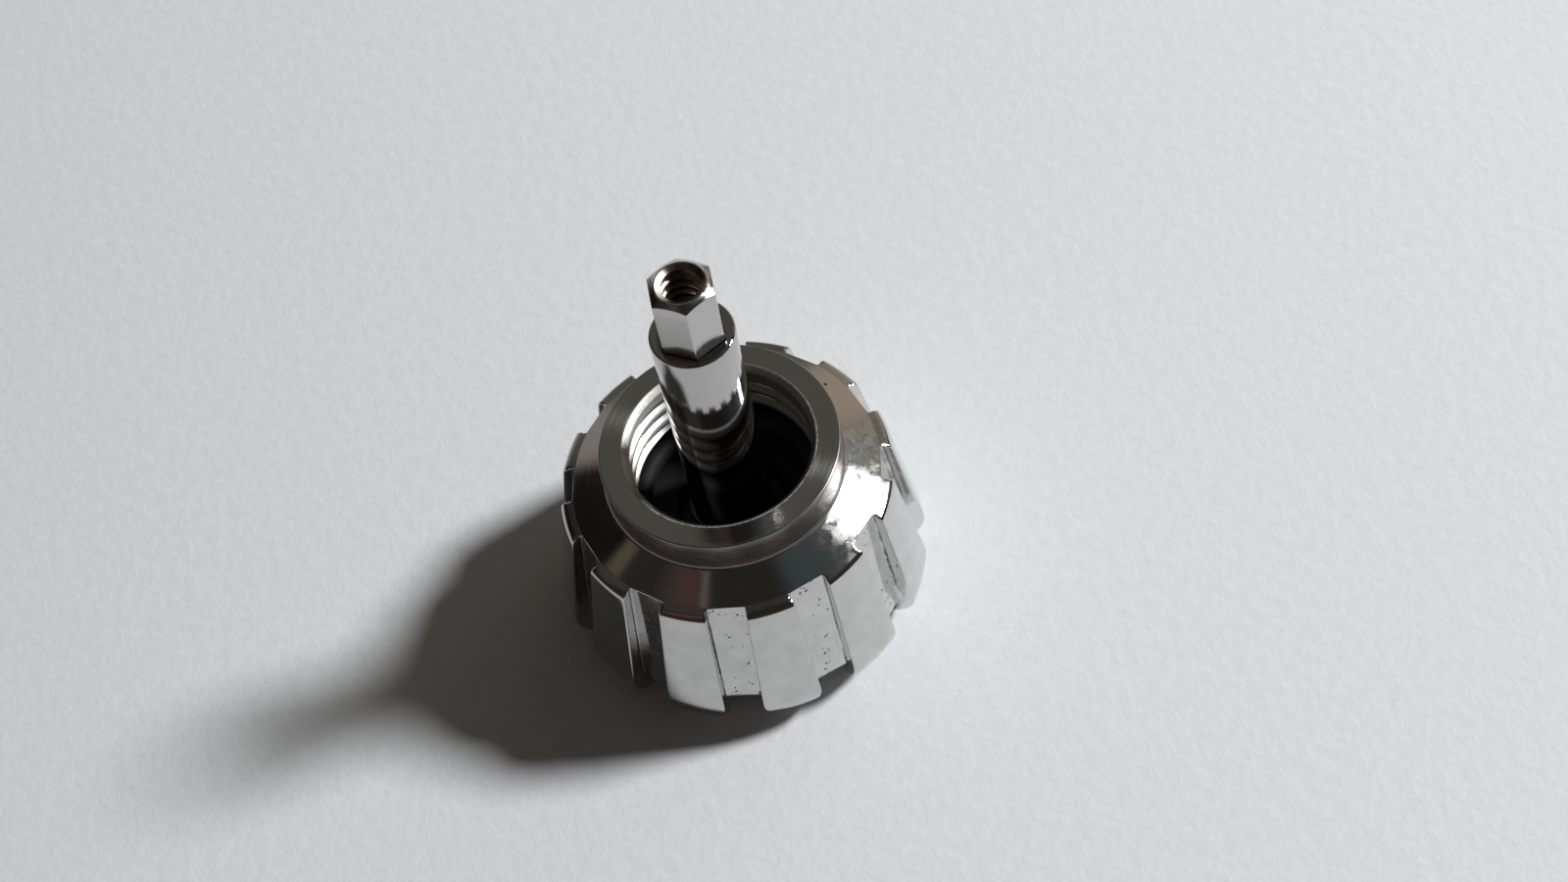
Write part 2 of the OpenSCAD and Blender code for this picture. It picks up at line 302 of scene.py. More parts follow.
def barrel_outline():
    """(radius, height) from the middle of the outer face, round the corner, up the flank, round the
    ridges' top edge, and in across the ridge tops and the shoulder cone."""
    flank_a, top_a = math.degrees(FLANK), 90 - math.degrees(RIDGE_TOP)
    n1 = np.array([math.cos(FLANK), math.sin(FLANK)])
    n2 = np.array([math.sin(RIDGE_TOP), math.cos(RIDGE_TOP)])
    centre = np.array([edge_r, edge_z]) - TOP_ROUND * (n1 + n2) / (1 + n1 @ n2)
    face = line([0, 0], [flat_r, 0], steps=12, last=False)
    corner = arc(flat_r, CORNER_R, CORNER_R, -90, flank_a, steps=26)
    edge = arc(*centre, TOP_ROUND, flank_a, top_a, steps=11)
    flank = line(corner[-1], edge[0], steps=14)[1:-1]
    step_r = groove_top_r + STEP_ROWS
    top_r = np.concatenate([np.linspace(edge[-1, 0], step_r[0], 7)[1:], step_r[1:]])
    top = np.stack([top_r, cone_height(top_r)], axis=-1)
    return np.concatenate([face, corner, flank, edge, top])


# %% One level section through a ridge and a groove
# Where the columns lie: shares of the floor, wall, edge and ridge, and angles round the corner
FLOOR_SHARES = np.array([0, 0.3, 0.6, 0.85, 1.0])
CORNER_TURNS = np.radians([30, 60, 90])
WALL_SHARES = np.array([0.3, 0.6, 0.85, 1.0])
EDGE_SHARES = np.array([0.25, 0.5, 0.75, 1.0])
RIDGE_SHARES = np.array([0.1, 0.25, 0.45, 0.7, 1.0])
# Below SOFTER_Z the ridges' edges grow softer, over a height of SOFTER_H. A rounding takes no more than
# its share of the groove's depth, so that both fit where the groove runs out.
SOFTER_Z, SOFTER_H = 1.0, 0.6
EDGE_SHARE, CORNER_SHARE, LEAST_ROUND, WIDEST = 0.45, 0.4, 1e-4, 0.95


def half_section(R, z):
    """Half of one pitch of the section, from the middle of a groove's floor to the middle of the next
    ridge.

    In a frame that looks along the groove, t is the distance to the side and q the distance outward.
    Floor: q = d and t runs out to the corner. Corner: a quarter circle. Wall: t = half the groove's
    width, and a little more near the top face, which rounds that edge. Edge: an arc that touches the wall
    and the circle of radius R from inside. Ridge: that circle. Whatever lies outside the circle is pulled
    in onto it.
    """
    R, z = R[:, None], z[:, None]
    half_w = GROOVE_W / 2
    d = floor_distance(z) - round_off(cone_height(groove_top_r - TOP_BREAK) - z, TOP_BREAK)
    e = EDGE_ROUND + (EDGE_ROUND_LOW - EDGE_ROUND) * np.clip((SOFTER_Z - z) / SOFTER_H, 0, 1)
    e = np.minimum(e, np.maximum(R - d, 0) * EDGE_SHARE + LEAST_ROUND)
    c = np.minimum(CORNER_ROUND, np.maximum(R - d, 0) * CORNER_SHARE + LEAST_ROUND)
    outer_w = half_w + round_off(cone_height(R) - z, TOP_BREAK)
    floor_t = FLOOR_SHARES * (half_w - c)
    corner_t, corner_q = half_w - c + c * np.sin(CORNER_TURNS), d + c - c * np.cos(CORNER_TURNS)
    reach = np.minimum((outer_w + e) / np.maximum(R - e, 1e-3), WIDEST)
    alpha = np.arcsin(reach)
    edge_q = np.maximum((R - e) * np.cos(alpha), d + c)
    wall_q = d + c + (edge_q - d - c) * WALL_SHARES
    wall_t = half_w + round_off(cone_height(np.hypot(half_w, wall_q)) - z, TOP_BREAK)
    swing = math.pi - (math.pi / 2 + alpha) * EDGE_SHARES
    edge_t, edge_arc_q = outer_w + e + e * np.cos(swing), edge_q + e * np.sin(swing)
    ridge_a = alpha + (math.pi / RIDGES - alpha) * RIDGE_SHARES
    t = np.concatenate([floor_t, corner_t, wall_t, edge_t, R * np.sin(ridge_a)], axis=1)
    q = np.concatenate([floor_t * 0 + d, corner_q, wall_q, edge_arc_q, R * np.cos(ridge_a)], axis=1)
    shrink = np.minimum(1, R / np.maximum(np.hypot(t, q), 1e-9))
    return t * shrink, q * shrink


FLOOR, CORNER, WALL, EDGE, RIDGE = range(5)
stretches = (FLOOR_SHARES, CORNER_TURNS, WALL_SHARES, EDGE_SHARES, RIDGE_SHARES)
half_kinds = np.repeat([FLOOR, CORNER, WALL, EDGE, RIDGE], [len(shares) for shares in stretches])
print("half a pitch has", len(half_kinds), "columns")


# %% All twelve ridges
# On the cone and on the face the columns go over to even spacing, each from an inset past the grooves'
# end and over the width of a blend
CONE_INSET, CONE_BLEND, FACE_INSET, FACE_BLEND = 0.03, 0.07, 0.05, 0.6


def ridged_shell():
    """Mirrors the half section about the groove's middle, repeats it twelve times and spreads the columns
    evenly where the shoulder has become a plain cone. Returns the grid and the kind of each column."""
    outline = barrel_outline()
    t, q = half_section(outline[:, 0], outline[:, 1])
    t = np.concatenate([-t[:, :0:-1], t[:, :-1]], axis=1)
    q = np.concatenate([q[:, :0:-1], q[:, :-1]], axis=1)
    kinds = np.concatenate([half_kinds[:0:-1], half_kinds[:-1]])
    radius, angle = np.hypot(t, q), np.arctan2(t, q)
    even = (np.arange(len(kinds)) / len(kinds) - 0.5) * 2 * math.pi / RIDGES
    r, z = outline[:, 0], outline[:, 1]
    on_cone = np.clip((groove_top_r - CONE_INSET - r) / CONE_BLEND, 0, 1) * (z > 1)
    on_face = np.clip((groove_low_r - GROOVE_END_R - FACE_INSET - r) / FACE_BLEND, 0, 1) * (z < 0.01)
    evenly = np.maximum(on_cone, on_face)[:, None]
    angle = angle * (1 - evenly) + even * evenly
    centres = 2 * math.pi * (np.arange(RIDGES) + 0.5) / RIDGES
    all_angles = (centres[None, :, None] + angle[:, None, :]).reshape(len(outline), -1)
    all_radii = np.tile(radius, (1, RIDGES))
    grid = about(all_radii, all_angles, outline[:, 1:])
    return grid, all_angles[-1], np.tile(kinds, RIDGES), outline


shell, shell_angles, shell_kinds, shell_outline = ridged_shell()
print("ridged shell", shell.shape)

# %% [markdown]
# ## Collar, thread and everything inside the head
#
# From the shoulder inward the head is a turned part, so one outline goes round the axis. The thread is
# the one thing that isn't turned: its groove climbs by one pitch each time round. The bore's radius is
# therefore a function of two numbers, the height and the angle. At each point the distance to the nearest
# turn of the groove is worked out, and the radius grows by the depth of a V with softened corners.

# %% The thread's radius
BORE_R, PITCH, THREAD_DEPTH, THREAD_RUN = 1.9, 0.4, 0.2, 1.45
MOUTH_LAND, MOUTH_CHAMFER, MOUTH_EDGE = 0.3, 0.11, 0.012
CHAMBER_RELIEF, RING_ROOM, RING_CORD, GASKET_H, BACKING_H = 0.25, 0.03, 0.45, 0.5, 0.12


def groove_edges(pitch, depth):
    """Half widths of a thread's groove at its flat root and at its mouth, for flanks 30 degrees from the
    level."""
    return pitch / 16, pitch / 16 + depth * math.tan(math.radians(30))


def thread_radius(z, angle, bore_r, pitch, depth, start_z, end_z, fade):
    """bore_r + depth * s, where s falls from 1 in the groove's root to 0 at its mouth, in a straight line
    over the distance to the groove's middle. The middle lies at start_z + pitch * (turns + angle / 360
    degrees). The depth fades to nothing over the last stretch before end_z."""
    turns = (z - start_z) / pitch - angle / (2 * math.pi)
    aside = pitch * (turns - np.round(turns))
    left = np.clip((end_z - z + aside) / fade, 0, 1)
    root, mouth = groove_edges(pitch, depth)
    return bore_r + depth * left * np.clip((mouth - np.abs(aside)) / (mouth - root), 0, 1)


def thread_grid(angles, low, high, cut):
    """A grid whose rows climb with the thread, so that its edges are clean lines.

    A row's height is its height at angle nought plus pitch * angle / 360 degrees, and rows lie closer at
    the groove's edges. Heights are held between low and high, where the extra rows fall together and are
    welded.
    """
    bore_r, pitch, depth, start_z = cut[:4]
    root, mouth = groove_edges(pitch, depth)
    soft = (mouth - root) * 0.1
    half = np.array([root * 0.5, root + soft, (root + mouth) / 2, mouth - soft, mouth + soft])
    across = np.concatenate([-half[::-1], half, [pitch / 2]])
    first = math.floor((low - start_z) / pitch - angles.max() / (2 * math.pi)) - 1
    last = math.ceil((high - start_z) / pitch - angles.min() / (2 * math.pi)) + 1
    rows = (start_z + pitch * np.arange(last, first, -1)[:, None] - across[None, :]).reshape(-1, 1)
    z = np.clip(rows + pitch * angles / (2 * math.pi), low, high)
    return about(thread_radius(z, angles, *cut), angles, z), len(across)


def thread_faces(rows, cols, per_turn, first=0):
    """Quads of a climbing grid. Where the last column meets the first one, a row has climbed by one whole
    turn."""
    quads = grid_faces(rows, cols).reshape(rows - 1, cols, 4)
    low, high = np.arange(per_turn, rows - 1) * cols, np.arange(0, rows - 1 - per_turn) * cols
    seam = np.stack([low + cols - 1, high, high + cols, low + 2 * cols - 1], axis=-1)
    return np.concatenate([quads[:, :-1].reshape(-1, 4), seam]) + first


# %% The turned half of the head
thread_low_z = CROWN_H - THREAD_RUN
chamber_r, chamber_top_z = BORE_R + CHAMBER_RELIEF, CROWN_H - THREAD_RUN - CHAMBER_RELIEF
floor_z = chamber_top_z - RING_ROOM - RING_CORD - GASKET_H - BACKING_H
HEX_FLATS, STOP_REACH, SLIDE_GAP, SEAT_GAP = 1.2, 0.017, 0.015, 0.01
CORE_WALL, FOOT_STEP, CORE_SEAT, FOOT_RING = 0.12, 0.045, 1.4, 0.28
core_bore_r = HEX_FLATS / math.sqrt(3) + STOP_REACH + SLIDE_GAP
core_r = core_bore_r + CORE_WALL
foot_r = core_r + FOOT_STEP
core_low_z = floor_z - CORE_SEAT
LATHE_COLUMNS = 288
lathe_angles = all_round(LATHE_COLUMNS)


def lathe_outline():
    """(radius, height) from the shoulder over the collar and down to the thread, in two parts: above the
    thread and below it."""
    fillet_r = COLLAR_R + COLLAR_FILLET
    fillet_z = shoulder_z - COLLAR_FILLET * drop + COLLAR_FILLET / math.cos(SHOULDER)
    shoulder_foot_r = fillet_r - COLLAR_FILLET * math.sin(SHOULDER) + 0.01
    shoulder_r = np.linspace(shell_outline[-1, 0] - 0.03, shoulder_foot_r, 8)
    shoulder = np.stack([shoulder_r, cone_height(shoulder_r)], axis=-1)
    fillet = arc(fillet_r, fillet_z, COLLAR_FILLET, 270 - math.degrees(SHOULDER), 180, steps=9)
    rim = top_edge(COLLAR_R, CROWN_H, RIM_EDGE, steps=8)
    wall = line(fillet[-1], rim[0], steps=5)[1:-1]
    mouth_r, small = BORE_R + MOUTH_CHAMFER, MOUTH_EDGE
    face = line(rim[-1], [mouth_r + 2 * small, CROWN_H], steps=5)[1:]
    outer_edge = arc(mouth_r + small * 0.4, CROWN_H - small, small, 90, 135, steps=3)
    inner_edge = arc(BORE_R + small, CROWN_H - MOUTH_CHAMFER - small * 0.4, small, 135, 180, steps=3)
    above = np.concatenate([shoulder, fillet, wall, rim, face, outer_edge, inner_edge])
    ring_r, seat_r, ring_low_z = foot_r + SEAT_GAP + FOOT_RING, foot_r + SEAT_GAP, floor_z - FOOT_RING
    corners = np.array([
        [BORE_R, thread_low_z], [chamber_r, chamber_top_z], [chamber_r, floor_z], [ring_r, floor_z],
        [ring_r, ring_low_z], [seat_r, ring_low_z], [seat_r, core_low_z], [0, core_low_z]])
    sides = zip(corners[:-1], corners[1:], (4, 4, 3, 3, 3, 3, 5))
    below = np.concatenate([corners[:1]] + [line(start, end, steps)[1:] for start, end, steps in sides])
    return above, below


above, below = lathe_outline()
thread_cut = (BORE_R, PITCH, THREAD_DEPTH, thread_low_z - PITCH, CROWN_H - MOUTH_LAND, PITCH / 3)
thread, thread_per_turn = thread_grid(lathe_angles, thread_low_z, above[-1, 1], thread_cut)
run_out = thread_radius(thread_low_z, lathe_angles, *thread_cut) - BORE_R
below_r, below_z = below[:, :1], below[:, 1:]
fading = np.clip(1 - (thread_low_z - below_z) / CHAMBER_RELIEF, 0, 1)
below_grid = about(below_r + run_out * fading, lathe_angles, below_z)
print("thread", thread.shape, "in %.2f mm" % (above[-1, 1] - thread_low_z))

# %% [markdown]
# ## The head, stitched together
#
# The two grids meet on the shoulder, where they have different numbers of columns. A ring of triangles
# stitches them. Two marks go with the points, because the material needs to know how the metal was worked
# there: `floor` is 1 on the milled groove floors, and `nook` in their inner corners, where polishing
# compound and dirt stay.

# %% The head as one mesh
def wrap(angles):
    return np.mod(angles, 2 * math.pi)


shell_rows, shell_cols = shell.shape[:2]
top = turn(above, lathe_angles)
head_points, firsts = stacked(shell, top, thread, below_grid)
first_top, first_thread, first_below = firsts[1:]
head_faces = [
    grid_faces(shell_rows, shell_cols),
    stitch(wrap(shell_angles), lathe_angles, first_top - shell_cols, first_top),
    grid_faces(len(top), LATHE_COLUMNS, first=first_top),
    thread_faces(len(thread), LATHE_COLUMNS, thread_per_turn, first=first_thread),
    grid_faces(len(below_grid), LATHE_COLUMNS, first=first_below)]
outline_z = shell_outline[:, 1]
milled_rows = (outline_z > 0.05) & (outline_z < ridge_top_z - 0.005)
no_marks = np.zeros(len(head_points) - first_top)
head_marks = {}
for label, kind in (("floor", FLOOR), ("nook", CORNER)):
    on_shell = milled_rows[:, None] * (shell_kinds == kind)[None, :]
    head_marks[label] = np.concatenate([on_shell.reshape(-1), no_marks])
    print(label, int(head_marks[label].sum()), "points marked")
head = make_piece("milled_head", head_points, head_faces, head_marks)
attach(head, "crown")
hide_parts("crown_head")

# %% [markdown]
# ## The core tube
#
# The tube carries the slider. Outside it is a plain polished pin with a thicker foot, pressed into the
# head. Its end is closed by a hexagonal window. A hexagon and a circle can share the same columns if the
# columns are crowded where the hexagon turns its corners, so one closed grid makes the whole tube, inside
# and outside.

# %% A hexagon with softened corners
HEX_TURN, FLAT_STEPS, CORNER_STEPS = math.radians(24.6), 22, 5


def hexagon(flats, corner):
    """Angles for a grid's columns, evenly over each flat and closer together on each corner's arc, and the
    hexagon's radius at each. On a flat that is (flats / 2) / cos(angle from the flat's middle). On a corner
    it is where the ray meets the corner's circle."""
    flat_half = math.atan((flats / 2 - corner) * math.tan(math.pi / 6) / (flats / 2))
    on_flat = np.linspace(-flat_half, flat_half, FLAT_STEPS)
    on_corner = np.linspace(flat_half, math.pi / 3 - flat_half, CORNER_STEPS + 2)[1:-1]
    sector = np.concatenate([on_flat, on_corner])
    angles = ((np.arange(6) * math.pi / 3)[:, None] + sector[None, :]).reshape(-1) + HEX_TURN + math.pi / 6
    off = np.abs((angles - HEX_TURN) % (math.pi / 3) - math.pi / 6)
    side = (flats / 2) / np.cos(off)
    centre, away = (flats / 2 - corner) / math.cos(math.pi / 6), math.pi / 6 - off
    bend = centre * np.cos(away) + np.sqrt(np.maximum(corner**2 - (centre * np.sin(away)) ** 2, 0))
    return angles, np.where(off <= flat_half, side, bend)


# %% The tube's grid
CORE_RISE, WINDOW_H, CORE_EDGE, FOOT_SHOW, TUBE_CORNER = 3.79, 1.1, 0.05, 0.05, 0.035
FOOT_LOW_EDGE, FOOT_TOP_EDGE, FOOT_FILLET, WINDOW_EDGE, WINDOW_LOW_EDGE = 0.04, 0.015, 0.01, 0.015, 0.004
BORE_EDGE = 0.02
core_top_z = CROWN_H + CORE_RISE
window_z = core_top_z - WINDOW_H
window_flats = HEX_FLATS + 2 * SLIDE_GAP
tube_angles, window_r = hexagon(window_flats, TUBE_CORNER)


def window_rows(heights, wider=0.0):
    """Rows on the window's wall, or further out by a chamfer's width."""
    return about(window_r + np.reshape(wider, (-1, 1)), tube_angles, np.reshape(heights, (-1, 1)))


gasket_top_z = floor_z + BACKING_H + GASKET_H
foot_top_z = gasket_top_z + FOOT_SHOW
tube_outside = np.concatenate([
    low_edge(foot_r, core_low_z, FOOT_LOW_EDGE),
    line([foot_r, core_low_z + 0.1], [foot_r, foot_top_z - 0.02], steps=4),
    top_edge(foot_r, foot_top_z, FOOT_TOP_EDGE, steps=3),
    arc(core_r + FOOT_FILLET, foot_top_z + FOOT_FILLET, FOOT_FILLET, 270, 180, steps=3),
    line([core_r, foot_top_z + 0.05], [core_r, core_top_z - CORE_EDGE], steps=12)[:-1],
    top_edge(core_r, core_top_z, CORE_EDGE, steps=7),
    [[core_r - CORE_EDGE - 0.01, core_top_z]]])
edge_depths, edge_widths = WINDOW_EDGE * np.array([0, 0.3, 1]), WINDOW_EDGE * np.array([1, 0.3, 0])
tube_bore = np.concatenate([
    [[core_bore_r, window_z]],
    line([core_bore_r, window_z - WINDOW_LOW_EDGE], [core_bore_r, core_low_z + BORE_EDGE], steps=4),
    [[core_bore_r + BORE_EDGE, core_low_z]]])
tube_grid = np.concatenate([
    turn(tube_outside, tube_angles),
    window_rows(core_top_z - edge_depths, edge_widths),
    window_rows(np.linspace(core_top_z - 0.05, window_z + WINDOW_LOW_EDGE, 4)),
    window_rows([window_z], WINDOW_LOW_EDGE),
    turn(tube_bore, tube_angles)])
tube_faces = grid_faces(len(tube_grid), len(tube_angles), closed=True)
tube = make_piece("tube_with_window", tube_grid, [tube_faces])
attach(tube, "crown")
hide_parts("core_tube")

# %% [markdown]
# ## The slider
#
# The slider is one bar of hexagonal steel, which can't turn in the window, with a thin shank turned at
# its lower end. Its upper end was faced to a flat cone in a lathe, and a hole tapped there takes the
# winding stem. Where the cone meets the hexagon the edge dips at every corner, so the grid's rows follow
# that edge instead of lying level. The rows of the tapped hole climb like those of the big thread.

# %% Sizes of the slider
TRAVEL, TIP_CLEAR, TIP_FACE_R, TIP_SLOPE = 1.1, 0.41, 0.5, math.radians(32)
STOP_H, SHANK_TAIL, WIRE, SPRING_PLAY = 0.8, 0.35, 0.13, 0.08
TAP_R, TAP_DEPTH, TAP_PITCH, TAP_CREST_R, TAP_SINK = 0.45, 1.9, 0.225, 0.375, 0.03
BAR_CORNER = 0.022
tip_z = core_top_z + TRAVEL + TIP_CLEAR
stop_r = core_bore_r - SLIDE_GAP
coil_r = core_bore_r - SLIDE_GAP - WIRE / 2
shank_r = coil_r - WIRE / 2 - SPRING_PLAY
stop_low_z = window_z - STOP_H
bar_angles, bar_r = hexagon(HEX_FLATS, BAR_CORNER)
print("bar %.3f mm across its corners, tip at z %.2f" % (2 * bar_r.max(), tip_z))

# %% The slider's outside
# The turned cone meets the hexagon lower at its corners than on its flats: the meeting height is the
# tip's height less (radius - the tip face's radius) * tan(slope). SOFT is the rounding along that edge.
SOFT, TAIL_EDGE, FACE_EDGE = 0.014, 0.06, 0.006
meeting_z = tip_z - (bar_r - TIP_FACE_R) * math.tan(TIP_SLOPE)
up_the_bar = np.array([0, 0.15, 0.3, 0.45, 0.6, 0.75, 0.9, 1.0])[:, None]
sides = about(bar_r, bar_angles, window_z + SOFT + up_the_bar * (meeting_z - window_z - 2 * SOFT))
edge_in, edge_up = SOFT * np.array([[0.1], [0.525], [1.5]]), SOFT * np.array([[-0.45], [0.08], [0.62]])
edge_rows = about(bar_r - edge_in, bar_angles, meeting_z + edge_up)
cone_share = np.array([0.35, 0.7, 0.95])[:, None]
cone_r, cone_z = bar_r + cone_share * (TIP_FACE_R - bar_r), meeting_z + cone_share * (tip_z - meeting_z)
cone_rows = about(cone_r, bar_angles, cone_z)
tail_z = stop_low_z - SHANK_TAIL
shank = np.concatenate([
    [[0, tail_z], [shank_r * 0.5, tail_z]],
    low_edge(shank_r, tail_z, TAIL_EDGE),
    [[shank_r, stop_low_z], [shank_r, window_z - 0.002], [shank_r + 0.004, window_z]],
    [[HEX_FLATS / 2 - SOFT, window_z]]])
mouth_r = TAP_R + TAP_SINK
sink_z = tip_z - (mouth_r - TAP_CREST_R) * math.tan(TIP_SLOPE)
mouth = np.array([
    [TIP_FACE_R + FACE_EDGE, tip_z - 0.0008], [TIP_FACE_R - FACE_EDGE, tip_z],
    [mouth_r + FACE_EDGE, tip_z], [mouth_r - 0.004, tip_z - 0.004],
    [(mouth_r + TAP_CREST_R) / 2, (tip_z + sink_z) / 2], [TAP_CREST_R, sink_z]])
bar_outside = np.concatenate([turn(shank, bar_angles), sides, edge_rows, cone_rows, turn(mouth, bar_angles)])
print("the edge round the tip lies between z %.3f and %.3f" % (meeting_z.min(), meeting_z.max()))

# %% The tapped hole, and the slider as one mesh
tap_low_z = tip_z - TAP_DEPTH
tap_cut = (TAP_CREST_R, TAP_PITCH, TAP_R - TAP_CREST_R, tap_low_z, sink_z - TAP_PITCH * 0.3, TAP_PITCH / 3)
tap, tap_per_turn = thread_grid(bar_angles, tap_low_z, sink_z, tap_cut)
tap_foot = thread_radius(tap_low_z, bar_angles, *tap_cut)[None, :] * np.array([[1.0], [0.5], [0.0]])
bar_points, firsts = stacked(bar_outside, tap, about(tap_foot, bar_angles, tap_low_z))
first_tap, first_foot = firsts[1:]
bar_faces = [
    grid_faces(len(bar_outside), len(bar_angles)),
    thread_faces(len(tap), len(bar_angles), tap_per_turn, first=first_tap),
    grid_faces(len(tap_foot), len(bar_angles), first=first_foot)]
slider = make_piece("hexagon_slider", bar_points, bar_faces)
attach(slider, "slider")
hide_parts("hex_slider")
print("slider from z %.2f to %.2f mm, %.2f mm of travel" % (tail_z, tip_z, TRAVEL))

# %% [markdown]
# ## The spring
#
# The coil is a circle carried along a helix. The wire lies closer together at both ends, where a real
# spring is ground flat, so the height climbs by t minus a sine of t. Two more vectors are needed at each
# place to set the circle up: one points away from the axis, and the other is square to it and to the
# wire's own direction.

# %% The coil
SEAT_H, THRUST_H, TURNS, END_FLATTENING = 0.15, 0.12, 11, 0.6
spring_low_z, spring_top_z = core_low_z + SEAT_H, stop_low_z - THRUST_H
STEPS_PER_TURN, WIRE_SIDES = 32, 12


def coil():
    """Centre line: r cos a, r sin a, and a height that rises by the mean pitch less a sine. Round each
    point lies a circle in the plane of the outward vector and the wire's normal."""
    t = np.linspace(0, 1, TURNS * STEPS_PER_TURN + 1)
    a = 2 * math.pi * TURNS * t
    rise = spring_top_z - spring_low_z - WIRE
    height = spring_low_z + WIRE / 2 + rise * (t - END_FLATTENING * np.sin(2 * math.pi * t) / (2 * math.pi))
    middle = about(coil_r, a, height)
    along = np.gradient(middle, axis=0)
    along /= np.linalg.norm(along, axis=1, keepdims=True)
    outward = about(1.0, a, 0.0)
    across = np.cross(along, outward)
    b = all_round(WIRE_SIDES)[None, :, None]
    round_wire = middle[:, None] + WIRE / 2 * (np.cos(b) * outward[:, None] + np.sin(b) * across[:, None])
    first, last = middle[:1, None] + 0 * round_wire[:1], middle[-1:, None] + 0 * round_wire[-1:]
    return np.concatenate([first, round_wire, last])


wire = coil()
spring = make_piece("coil_spring", wire, [grid_faces(len(wire), WIRE_SIDES)])
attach(spring, "crown")
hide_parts("return_spring")
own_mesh(spring)

# %% [markdown]
# ## Washers, seat and rubber
#
# The rest are rings. Each is a closed outline with rounded corners, turned about the axis. A steel washer
# is punched and tumbled, so its corners are small. Rubber is moulded, and its corners are softer. The
# round cords sit in their grooves slightly flattened where they touch.

# %% Steel washers, the spring's seat and the stop collar
SEAT_EDGE, WASHER_EDGE, STOP_EDGE = 0.03, 0.02, 0.03


def band(low, high, inner, outer, corner):
    """Closed outline of a rectangular section between two radii, its corners rounded."""
    corners = ((inner, low), (outer, low), (outer, high), (inner, high))
    return rounded([(*place, corner) for place in corners])


seat_r, seat_top_z = core_bore_r - SEAT_GAP, core_low_z + SEAT_H
seat_outline = np.concatenate([
    [[0, core_low_z]],
    low_edge(seat_r, core_low_z, SEAT_EDGE),
    top_edge(seat_r, seat_top_z, SEAT_EDGE),
    [[0, seat_top_z]]])
seat_grid = turn(seat_outline, lathe_angles[::3])
seat = make_piece("hardened_seat", seat_grid, [grid_faces(*seat_grid.shape[:2])])
on_shank_r, backing_top_z = shank_r + SEAT_GAP, floor_z + BACKING_H
in_chamber_r = chamber_r - SEAT_GAP
thrust = ring_piece("hardened_washer", band(spring_top_z, stop_low_z, on_shank_r, stop_r, WASHER_EDGE))
stop = ring_piece("pressed_stop", band(stop_low_z, window_z, on_shank_r, stop_r, STOP_EDGE))
backing_outline = band(floor_z, backing_top_z, foot_r + SEAT_GAP, in_chamber_r, WASHER_EDGE)
backing = ring_piece("gasket_backing", backing_outline)

# %% Rubber
GASKET_R, GASKET_EDGE, SOFT_COLUMNS, WALL_SQUEEZE, FOOT_SQUEEZE = 1.15, 0.06, 160, 0.012, 0.006
gasket_outline = band(backing_top_z, gasket_top_z, GASKET_R, in_chamber_r, GASKET_EDGE)
gasket = ring_piece("seal_washer", gasket_outline, SOFT_COLUMNS)


def cord_outline(ring_r, z, cord, squeeze):
    """A round cord's section, flattened a little towards the groove: a circle whose outward side is
    pressed in."""
    a = all_round(28)
    r, h = cord / 2 * np.cos(a), cord / 2 * np.sin(a)
    return np.stack([ring_r + np.minimum(r, cord / 2 - squeeze), z + h], axis=-1)


half_cord = RING_CORD / 2
wall_outline = cord_outline(in_chamber_r - half_cord, gasket_top_z + half_cord, RING_CORD, WALL_SQUEEZE)
wall_seal = ring_piece("wall_seal", wall_outline, SOFT_COLUMNS)
foot_seal_r, foot_seal_z = foot_r + SEAT_GAP + FOOT_RING / 2, floor_z - FOOT_RING / 2
foot_outline = cord_outline(foot_seal_r, foot_seal_z, FOOT_RING - 2 * SEAT_GAP, FOOT_SQUEEZE)
foot_seal = ring_piece("foot_seal", foot_outline)

# %% Say what each ring replaces
rings = (
    (seat, "spring_seat", "crown", "hard_steel"), (thrust, "thrust_washer", "slider", "hard_steel"),
    (stop, "stop_collar", "slider", "slider_steel"), (backing, "backing_washer", "crown", "hard_steel"),
    (gasket, "flat_gasket", "crown", "rubber"), (wall_seal, "wall_ring", "crown", "rubber"),
    (foot_seal, "core_foot_ring", "crown", "rubber"))
for piece, node, body, finish in rings:
    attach(piece, body)
    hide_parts(node)
    print(piece.name, "stands for", node, "on", body)

# %% [markdown]
# ## Finishes
#
# Steel has no colour pattern of its own. What the eye reads as polished, turned or ground is how sharply
# it mirrors its surroundings, so these materials work mostly through roughness and a very slight bump.
# All of them are made of nodes that read the Object coordinates. Those are metres, and the marks left by
# tools are hundredths of a millimetre, so the first node after the coordinates turns metres into
# millimetres.

# %% Node helpers
def add(tree, kind, inputs=(), **settings):
    """A node with its settings, whose inputs are either linked to other nodes' outputs or set to
    numbers."""
    node = tree.nodes.new("ShaderNode" + kind)
    for setting, value in settings.items():
        setattr(node, setting, value)
    for socket, value in dict(inputs).items():
        if isinstance(value, bpy.types.NodeSocket):
            tree.links.new(value, node.inputs[socket])
        else:
            node.inputs[socket].default_value = value
    return node


def plus(tree, a, b):
    return add(tree, "Math", {0: a, 1: b}, operation="ADD").outputs[0]


def times(tree, a, b):
    return add(tree, "Math", {0: a, 1: b}, operation="MULTIPLY").outputs[0]


def larger(tree, a, b):
    return add(tree, "Math", {0: a, 1: b}, operation="MAXIMUM").outputs[0]


def vector(tree, operation, first, second=(0, 0, 0)):
    """A vector node's result. It is a single number for a length, a distance or a dot product."""
    node = add(tree, "VectorMath", {0: first, 1: second}, operation=operation)
    return node.outputs["Value" if operation in ("LENGTH", "DISTANCE", "DOT_PRODUCT") else 0]


def point(tree, x, y, z):
    """A vector from three numbers, of which any may vary over the surface."""
    return add(tree, "CombineXYZ", {0: x, 1: y, 2: z}).outputs[0]


